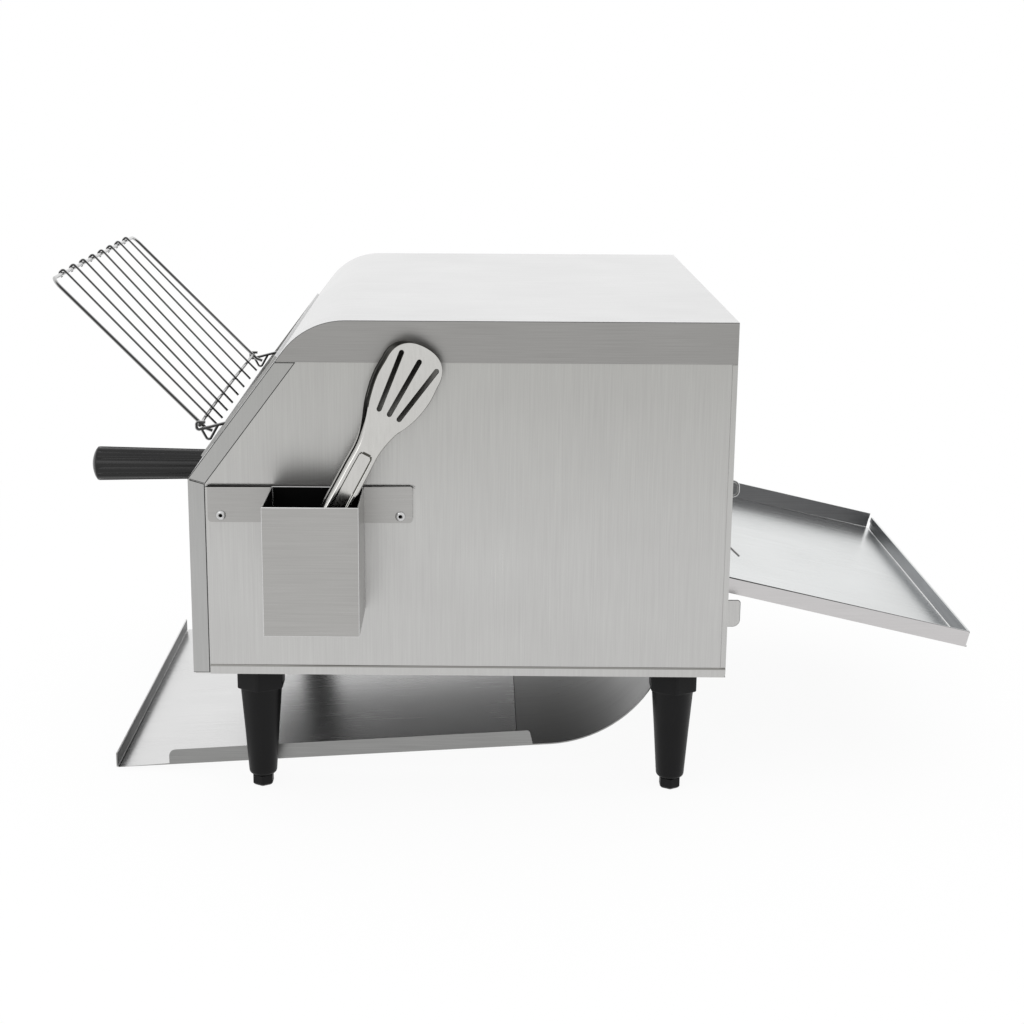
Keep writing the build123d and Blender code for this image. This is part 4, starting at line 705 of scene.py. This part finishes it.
amber_cap = moulded_plastic("amber polycarbonate", "#c8641a", "#d0722a", 0.18, 3.0, 0.5)
amber_cap.node_tree.nodes["Principled BSDF"].inputs["Transmission Weight"].default_value = 0.35


def lamp_faces(normal, centre):
    """Slot 1 for the cap inside the bezel."""
    return np.where((centre[:, 1] < -1.25) & (np.hypot(centre[:, 0] - lamp_x, centre[:, 2] - control_z) < 5.2), 1, 0)


dressed_copy("indicator_lamp", "casing", [lamp_bezel, amber_cap], 0.0004, choose=lamp_faces)


# ---- Feed rack ----
# Bright stainless wire, bent and resistance welded: a U-shaped frame with eight inner wires hooked over its top,
# seated on a bowed lower rod that carries a bent hook and a V-shaped foot at each end.
def bright_wire(name, middle, rim):
    """Bright-drawn wire, mirror-like. Its colour is a painted reflection: dark in the middle of the round for a dim
    room, pale at its rims for the white one, mixed by Layer Weight. Fine die lines are a stretched noise."""
    material = brushed_steel(name, middle, middle, (3.0, 3.0, 3.0), 0.2, 0.05)
    tree = material.node_tree
    shader = tree.nodes["Principled BSDF"]
    facing = add(tree, "ShaderNodeLayerWeight", {"Blend": 0.5}).outputs["Facing"]
    share = add(tree, "ShaderNodeMapRange", {"Value": facing, "From Min": 0.1, "From Max": 0.34}).outputs[0]
    under = shader.inputs["Base Color"].links[0].from_socket
    feed(tree, shader, {"Base Color": mixed(tree, share, under, linear(rim))})
    return material


rack_wire = bright_wire("drawn stainless wire, bright", "#3e3e3e", "#c0c0c0")
clip_wire = bright_wire("drawn stainless wire, clip", "#707070", "#d8d8d8")
dressed_copy("rack_frame", "rack", [rack_wire], 0, 50.0)
dressed_copy("rack_wires", "rack", [rack_wire], 0, 50.0)
dressed_copy("hook_pins", "casing", [steel_turned], 0.0002)


# ---- Toast chute, rear tray and flap ----
# The chute is one sheet, folded up at its lip and walls and rolled up at the back to hook over a rod; the tray is
# folded up at its edges, turns on two pins, and rests on two brackets.
chute_steel = brushed_steel("belt-ground stainless, chute", "#d3d3d3", "#cbcbcb", grain_deep, 0.24, 0.05)
# Darker copies of the chute's steel for its walls, lip and rear: painted shade.
chute_side = brushed_steel("belt-ground stainless, folded wall", "#989897", "#868685", grain_wall)
chute_lip = brushed_steel("belt-ground stainless, chute lip", "#464646", "#3a3a3a", (50.0, 1.0, 1.0), 0.36)
chute_rear = brushed_steel("stainless, chute rear in shade", "#959595", "#8b8b8b", grain_deep, 0.3, 0.12)
tray_steel = brushed_steel("belt-ground stainless, tray floor", "#d2d4d4", "#cacccc", grain_deep, 0.24, 0.05)
# Darker copies of the tray's steel for the inner faces of its far and end walls: painted shade.
tray_far = brushed_steel("belt-ground stainless, tray far wall", "#7a7a7b", "#6c6c6d", grain_wall, 0.34)
tray_end = brushed_steel("belt-ground stainless, tray end wall", "#a2a4a6", "#94969a", grain_wall, 0.34)
tray_side = brushed_steel("belt-ground stainless, tray side", "#cfcdcd", "#c6c4c4", grain_wall)
# Pale edge steel: a painted highlight along folds and edges.
painted_highlight_edge = brushed_steel("steel edge, painted highlight", "#dcdcdc", "#d2d2d2", (3.0, 3.0, 3.0), 0.2, 0.05)
chute_crease, chute_fold = 258.0, -75.4
tray_y, tray_z, tray_slope = 404.7, 181.2, 0.2225


def chute_faces(normal, centre):
    """Lip, side walls, the crease where two sheets meet, and the part behind it. The walls, lip and rear take darker
    copies of the chute's steel as painted shade; the crease takes the lip's dark steel.
    """
    lip = (np.abs(normal[:, 1]) > 0.7) & (centre[:, 1] < -70)
    side = np.abs(normal[:, 0]) > 0.9
    crease = (np.abs(centre[:, 1] - chute_crease) < 0.5) & (normal[:, 2] > 0.5)
    rear = (centre[:, 1] > chute_crease) & (normal[:, 1] < 0) & (normal[:, 2] > 0.2)
    return np.select([lip, side, crease, rear], [2, 1, 2, 3], 0)


def lip_fold(one, other, middle):
    """True for the inner fold between the chute's floor and its front lip, and for the lip's inner top edge, drawn
    with a pale painted highlight.
    """
    return abs(middle.y - chute_fold) < 0.35 and max(one.z, other.z) > 0.9


def tray_faces(normal, centre):
    """Inner faces of the far wall and of the end wall, painted darker as shade, and the outer face of the near one."""
    far = (normal[:, 0] > 0.9) & (centre[:, 0] < -150)
    near = (normal[:, 0] > 0.9) & (centre[:, 0] > 150)
    end = (normal[:, 1] < -0.8) & (centre[:, 1] > 500)
    return np.select([far, near, end], [1, 3, 2], 0)


def near_rim(one, other, middle):
    """True for the upper outer edge of the near wall, drawn as a dark painted shadow line."""
    return middle.x > 183.9 and max(one.x, other.x) > 0.9 and max(one.z, other.z) > 0.9


def tray_fold(one, other, middle):
    """True for the folds between the tray's floor and the inner faces of its walls, drawn with a pale painted
    highlight.
    """
    low = middle.z < tray_z - (middle.y - tray_y) * tray_slope - 9.0
    return low and min(abs(one.z), abs(other.z)) < 0.3 and max(one.z, other.z) > 0.9 and abs(middle.x) < 183.6


chute_steels = [chute_steel, chute_side, chute_lip, chute_rear, painted_highlight_edge]
chute_cuts = (chute_crease - 0.4, chute_crease + 0.4)
dressed_copy("toast_chute", "chute", chute_steels, choose=chute_faces, marks=[(lip_fold, 0.8, 4)], cuts=chute_cuts)
dressed_copy("chute_hanger_rod", "casing", [steel_turned])
tray_steels = [tray_steel, tray_far, tray_end, tray_side, painted_highlight_edge, painted_shadow_line]
dressed_copy("rear_tray", "tray", tray_steels, 0, choose=tray_faces, marks=[(near_rim, 0.9, 5), (tray_fold, 1.0, 4)])
dressed_copy("tray_brackets", "casing", [steel_upright, sheared_edge_and_shade], 0.0005, edge_slot=1)
dressed_copy("rear_wire_clip", "casing", [clip_wire], 0, 50.0)
dressed_copy("discharge_flap", "flap", [steel_inner])


# ---- Utensil holder ----
# An open box of folded stainless, welded to a strip that two blind rivets hold to the side panel. Each rivet has a
# domed flange with a hole where its mandrel broke off; that hole and the box's inside are painted near black as shade.
strip_steel = brushed_steel("belt-ground stainless, strip", "#b0afad", "#a4a3a1", grain_level)
holder_painted_shade = brushed_steel("stainless in the holder's shade", "#1c1c1c", "#131313", (40.0, 1.0, 1.0), 0.5)
holder_side = brushed_steel("belt-ground stainless, holder side", "#b4b3b1", "#a8a7a5", (50.0, 0.7, 50.0))


def holder_faces(normal, centre):
    """Slot 1 inside the box, painted near black as shade, and slot 2 for its faces that look to the front or the rear.
    """
    inside = (centre[:, 0] > 235.8) & (centre[:, 0] < 301.3) & (centre[:, 1] > 64.9) & (centre[:, 1] < 135.9)
    inside &= (centre[:, 2] > 160.0) & (centre[:, 2] < 258.8)
    return np.where(inside, 1, np.where(np.abs(normal[:, 1]) > 0.9, 2, 0))


def strip_top(one, other, middle):
    """True for the strip's upper outer edge, drawn as a dark painted shadow line where the strip stands off the panel.
    """
    return middle.x > half_width + 0.9 and max(one.z, other.z) > 0.9


strip_steels = [strip_steel, sheared_edge_and_shade, painted_shadow_line]
dressed_copy("holder_strip", "casing", strip_steels, 0.0004, edge_slot=1, marks=[(strip_top, 0.8, 2)])
# The holder's eased edges take the pale edge steel, a painted highlight.
holder_steels = [strip_steel, holder_painted_shade, holder_side, painted_highlight_edge]
dressed_copy("utensil_holder", "casing", holder_steels, 0.0004, choose=holder_faces, edge_slot=3)
rivet_steel = brushed_steel("nickel-plated rivet", "#cfcfcf", "#bababa", (1.5, 1.5, 1.5), 0.2, 0.1)
rivet_rows = [(-4.6, 0, 0), (-4.6, 2.0, 0), (0, 2.0, 0), (0, 3.9, 0), (0.3, 3.95, 0)]
rivet_rows += curve_rows((0.3, 3.95), (1.8, 1.9), "height", 8) + [(1.5, 1.45, 0), (1.0, 1.2, 0)]
hole_rows = [(1.0, 1.2, 0), (-2.0, 1.15, 0), (-2.0, 0.0, 0)]
rivets = []
for y in (25.1, 164.0):
    rivets += [turned(rows, (235.6, y, 235.5), (2, 0, 1), 40) for rows in (rivet_rows, hole_rows)]
whole("holder_blind_rivets", rivets, [rivet_steel, holder_painted_shade], "casing", ["holder_rivets"], 40.0, [0, 1, 0, 1])


# ---- Tongs ----
# Two pressed arms of 1.2 mm polished stainless: a slotted turner head, and a grip folded into a shallow channel
# with an embossed panel. The rear arm curls round a bow at its foot and ends inside the front one.
tongs_sheet, tongs_length, tongs_level = 1.2, 225.0, 7.2
tongs_origin = np.array([283.9, 75.5, 175.2])
crown_start, crown_width, crown_power = 205.0, 22.9, 2.35
flat_share, flange_share = 0.97, 0.2
tongs_axes = np.array([[0, 0, 1], [1, 0, 0], [0, 1, 0]], float)
tongs_axes = tongs_axes @ turn_about(2, 61.6 - 90) @ turn_about(0, -10.0) @ turn_about(1, 14.0)


def smooth_step(value):
    """Zero to one with level ends."""
    value = np.clip(value, 0, 1)
    return value * value * (3 - 2 * value)


def arm_width(s):
    """Half the arm's width along its length: straight grip, then a cubic through the flank's widths with slopes
    taken between neighbours, then a crown squarer than an ellipse."""
    at = np.array([10.0, 55.0, 120.0, 141.0, 154.0, 173.0, 191.0, crown_start])
    width = np.array([7.0, 9.5, 9.3, 9.5, 12.5, 19.8, 23.2, crown_width])
    slope = np.gradient(width, at)
    slope[:3] = [0.05, 0.0, 0.0]
    slope[-1] = 0.0
    i = np.clip(np.searchsorted(at, s) - 1, 0, len(at) - 2)
    h = at[i + 1] - at[i]
    t = np.clip((s - at[i]) / h, 0, 1)
    flank = (1 + 2 * t) * (1 - t) ** 2 * width[i] + t * (1 - t) ** 2 * h * slope[i]
    flank += t * t * (3 - 2 * t) * width[i + 1] + t * t * (t - 1) * h * slope[i + 1]
    rise = np.clip((s - crown_start) / (tongs_length - crown_start), 0, 1)
    return np.where(s > crown_start, crown_width * (1 - rise**crown_power) ** (1 / crown_power), flank)


def capsule(t, s, start, end, radius):
    """Distance outside a round-ended slot, and the direction in which it grows."""
    run = np.array(end) - np.array(start)
    along = np.clip(((t - start[0]) * run[0] + (s - start[1]) * run[1]) / (run @ run), 0, 1)
    dt, ds = t - start[0] - along * run[0], s - start[1] - along * run[1]
    far = np.hypot(dt, ds) + 1e-9
    return far - radius, dt / far, ds / far


def tongs_arm(mirror):
    """One arm as a surface over (along, across): flat, then turned down a flange at both edges, with a sunk panel
    in the grip and three slots in the head whose neighbouring points are drawn onto the slots' outlines."""
    s = np.concatenate([np.arange(10.0, 168.0, 1.0), np.arange(168.0, crown_start, 0.7)])
    s = np.concatenate([s, tongs_length - (tongs_length - crown_start) * (1 - np.linspace(0, 1, 56)) ** 2])
    lip = 1 + np.array([0, 0.06, 0.13, flange_share])
    b = np.concatenate([-lip[::-1], np.linspace(-flat_share, flat_share, 67), lip])
    s, b = np.meshgrid(s, b, indexing="ij")
    width = arm_width(s)
    flange = 0.5 + 4.5 * smooth_step((s - 56) / 10) * smooth_step((165 - s) / 22)
    bend = np.minimum(1.3, flange * 0.9) * np.clip(width / 6, 0, 1)
    flange = flange * np.clip(width / 6, 0, 1)
    inner = np.clip(np.abs(b), 0, flat_share) / flat_share
    angle = np.clip((np.abs(b) - flat_share) / 0.03, 0, 1) * np.pi / 2
    across = np.sign(b) * (inner * (width - bend) + bend * np.sin(angle))
    drop = bend * (1 - np.cos(angle)) + (flange - bend) * np.clip((np.abs(b) - 1) / flange_share, 0, 1)
    panel_t = np.abs(across) - (width - 3.1 - 3.0)
    panel_s = np.maximum(s - 131.5, 24.0 - s)
    panel = np.hypot(np.clip(panel_t, 0, None), np.clip(panel_s, 0, None))
    panel += np.minimum(np.maximum(panel_t, panel_s), 0)
    sunk = 1.1 * smooth_step((3.0 - panel) / 1.5)
    across = across + 1.3 * smooth_step((s - 150) / 30)
    along = s.copy()
    faces = quads(*s.shape)
    for low, top in ((-8.2, -13.6), (0.8, 2.1), (9.4, 17.4)):
        far, grow_t, grow_s = capsule(across, along, (low, 168.6), (top, 213.4), 2.05)
        inside = far.reshape(-1)[faces].mean(1) < 0
        rim = np.zeros(s.size, bool)
        rim[faces[inside].reshape(-1)] = True
        kept = np.zeros(s.size, bool)
        kept[faces[~inside].reshape(-1)] = True
        snap = np.where((rim & kept).reshape(s.shape), far, 0)
        across, along = across - snap * grow_t, along - snap * grow_s
        faces = faces[~inside]
    height = tongs_level - drop - sunk
    # Face slots: the sunk panel's groove and the edges of the head take the dark rim steel as painted shade; the
    # flanges take the pale flange steel as a painted highlight.
    side, at, depth = np.stack([b, s, sunk], -1).reshape(-1, 3)[faces].mean(1).T
    groove = (depth > 0.12) & (depth < 1.0)
    slots = np.select([(np.abs(side) > 0.975) & (at > 166), groove, np.abs(side) > 1.0], [2, 2, 1], 0)
    return np.stack([across, along, -height if mirror else height], -1), faces, slots


def bow_sheet():
    """The rear arm's foot: a strip that runs down, round a half circle, and back up inside the front arm."""
    turn = np.linspace(0, np.pi, 19)
    outer = tongs_level
    y = np.concatenate([[11.0, 5.0], -outer * np.sin(turn), [5.0, 9.6]])
    z = np.concatenate([[-outer, -outer], -outer * np.cos(turn), [outer, outer]])
    b = np.linspace(-1, 1, 9)
    grid = np.stack([6.95 * b[None, :] + 0 * y[:, None], y[:, None] + 0 * b, z[:, None] + 0 * b], -1)
    faces = quads(len(y), 9)
    return grid, faces, np.zeros(len(faces), int)


def in_tongs(part):
    """A part drawn in the tongs' own axes (across, along, out), put in its place."""
    grid, faces, slots = part
    return grid @ tongs_axes.T + tongs_origin, faces, slots


def arm_piece(name, parts, body, node, outward):
    """An arm's surface, its faces turned to the arm's outside, thickened inwards to a sheet."""
    sheet = joined(name, parts, [tongs_steel, tongs_flange_highlight, tongs_rim_and_shade, tongs_inner_shade], outward=outward)
    piece = in_scene(name, sheet)
    # The thickened sheet's inner faces take the darkest steel, painted shade between the arms; its rims take darker
    # slots.
    configured(
        piece.modifiers.new("sheet thickness", "SOLIDIFY"),
        thickness=tongs_sheet / 1000,
        offset=-1.0,
        material_offset=3,
        material_offset_rim=2,
    )
    bpy.context.view_layer.update()
    solid = bpy.data.meshes.new_from_object(piece.evaluated_get(bpy.context.evaluated_depsgraph_get()))
    piece.modifiers.clear()
    piece.data = solid
    smoothed(solid, 48)
    claim(piece, body, [node])


# Tongs steels: the flange copy is paler, a painted highlight; the rim copy is the sheared rim and painted shade; the
# inner copy is painted shade.
tongs_steel = brushed_steel("polished stainless, pressed", "#cccbc8", "#c4c3c0", (2.0, 2.0, 12.0), 0.2, 0.12)
tongs_flange_highlight = brushed_steel("polished stainless, folded flange", "#e9e8e6", "#dedddb", (2.0, 2.0, 12.0), 0.15, 0.08)
tongs_rim_and_shade = brushed_steel("polished stainless, sheared rim", "#55544f", "#474641", (2.0, 2.0, 2.0), 0.3, 0.1)
tongs_inner_shade = brushed_steel("polished stainless, between the arms", "#6e6d6a", "#62615e", (2.0, 2.0, 12.0), 0.3, 0.1)
out_axis = tongs_axes @ np.array([0.0, 0.0, 1.0])
arm_piece("tongs_front_pressed", [in_tongs(tongs_arm(False))], "tongs_front", "tongs_front_arm", out_axis)
rear_parts = [in_tongs(tongs_arm(True)), in_tongs(bow_sheet())]
arm_piece("tongs_rear_pressed", rear_parts, "tongs", "tongs_rear_arm", -out_axis)


# ---- Counter, studio light and camera ----
# A white counter that runs into a white backdrop and keeps a faint shadow round the object, lit by a broad softbox
# overhead and two weak ones: one low behind the far side, and one higher on the near side.
def seen_directly(tree):
    """1 for rays from the camera, off a gloss or through glass, and 0 for the rest."""
    path = add(tree, "ShaderNodeLightPath")
    seen = path.outputs["Is Camera Ray"]
    for kind in ("Is Glossy Ray", "Is Transmission Ray"):
        seen = add(tree, "ShaderNodeMath", {0: seen, 1: path.outputs[kind]}, operation="MAXIMUM").outputs[0]
    return seen


white_counter = bpy.data.materials.new("white counter")
white_counter.use_nodes = True
tree = white_counter.node_tree
tree.nodes.clear()
place = add(tree, "ShaderNodeTexCoord").outputs["Object"]
reach = add(tree, "ShaderNodeVectorMath", {0: place}, operation="LENGTH").outputs["Value"]
span = {"Value": reach, "From Min": 0.3, "From Max": 1.1, "To Min": 0.93, "To Max": 1.0}
fade = add(tree, "ShaderNodeMapRange", span, interpolation_type="SMOOTHSTEP").outputs[0]
share = add(tree, "ShaderNodeMath", {0: seen_directly(tree), 1: fade}, operation="MULTIPLY").outputs[0]
matt = add(tree, "ShaderNodeBsdfDiffuse", {"Color": linear("#f4f4f4")}).outputs[0]
glow = add(tree, "ShaderNodeEmission", {"Color": (1, 1, 1, 1), "Strength": 1.0}).outputs[0]
blend = add(tree, "ShaderNodeMixShader", {0: share, 1: matt, 2: glow}).outputs[0]
add(tree, "ShaderNodeOutputMaterial", {"Surface": blend})
mesh = bpy.data.meshes.new("counter")
mesh.from_pydata([(-8, -8, 0), (8, -8, 0), (8, 8, 0), (-8, 8, 0)], [], [(0, 1, 2, 3)])
mesh.materials.append(white_counter)
in_scene("counter", mesh)

scene = bpy.context.scene
scene.world = bpy.data.worlds.new("studio")
scene.world.use_nodes = True
tree = scene.world.node_tree
tree.nodes.clear()
strength = add(tree, "ShaderNodeMapRange", {"Value": seen_directly(tree), "To Min": 0.55, "To Max": 1.0}).outputs[0]
sky = add(tree, "ShaderNodeBackground", {"Color": (1, 1, 1, 1), "Strength": strength}).outputs[0]
add(tree, "ShaderNodeOutputWorld", {"Surface": sky})


def softbox(name, place, turn, size, power, mirrored=True):
    """A rectangular area lamp, turned from pointing straight down; mirrored says whether metals reflect it."""
    lamp = bpy.data.lights.new(name, "AREA")
    holder = in_scene(name, configured(lamp, shape="RECTANGLE", size=size[0], size_y=size[1], energy=power))
    angles = tuple(radians(a) for a in turn)
    configured(holder, location=place, rotation_euler=angles, visible_camera=False, visible_glossy=mirrored)


softbox("overhead softbox", (0.0, -0.2, 1.7), (0, 0, 0), (3.2, 3.2), 38.0, False)
softbox("far softbox", (-1.9, -0.1, 0.75), (0, -90, 0), (1.1, 2.2), 1.0)
softbox("near softbox", (1.9, -0.9, 1.2), (0, 60, -25), (1.0, 1.0), 4.0)

lens = bpy.data.cameras.new("camera")
configured(lens, sensor_width=36.0, lens=61.83, shift_x=0.04776, shift_y=-0.03349, clip_start=0.05)
camera = in_scene("camera", lens)
camera.location = (middle_x + 1.5494, front_y + 0.22279, 0.58122)
camera.rotation_euler = (radians(76.5349), radians(-0.2760), radians(90.5227))
scene.camera = camera
scene.view_settings.view_transform = "Standard"
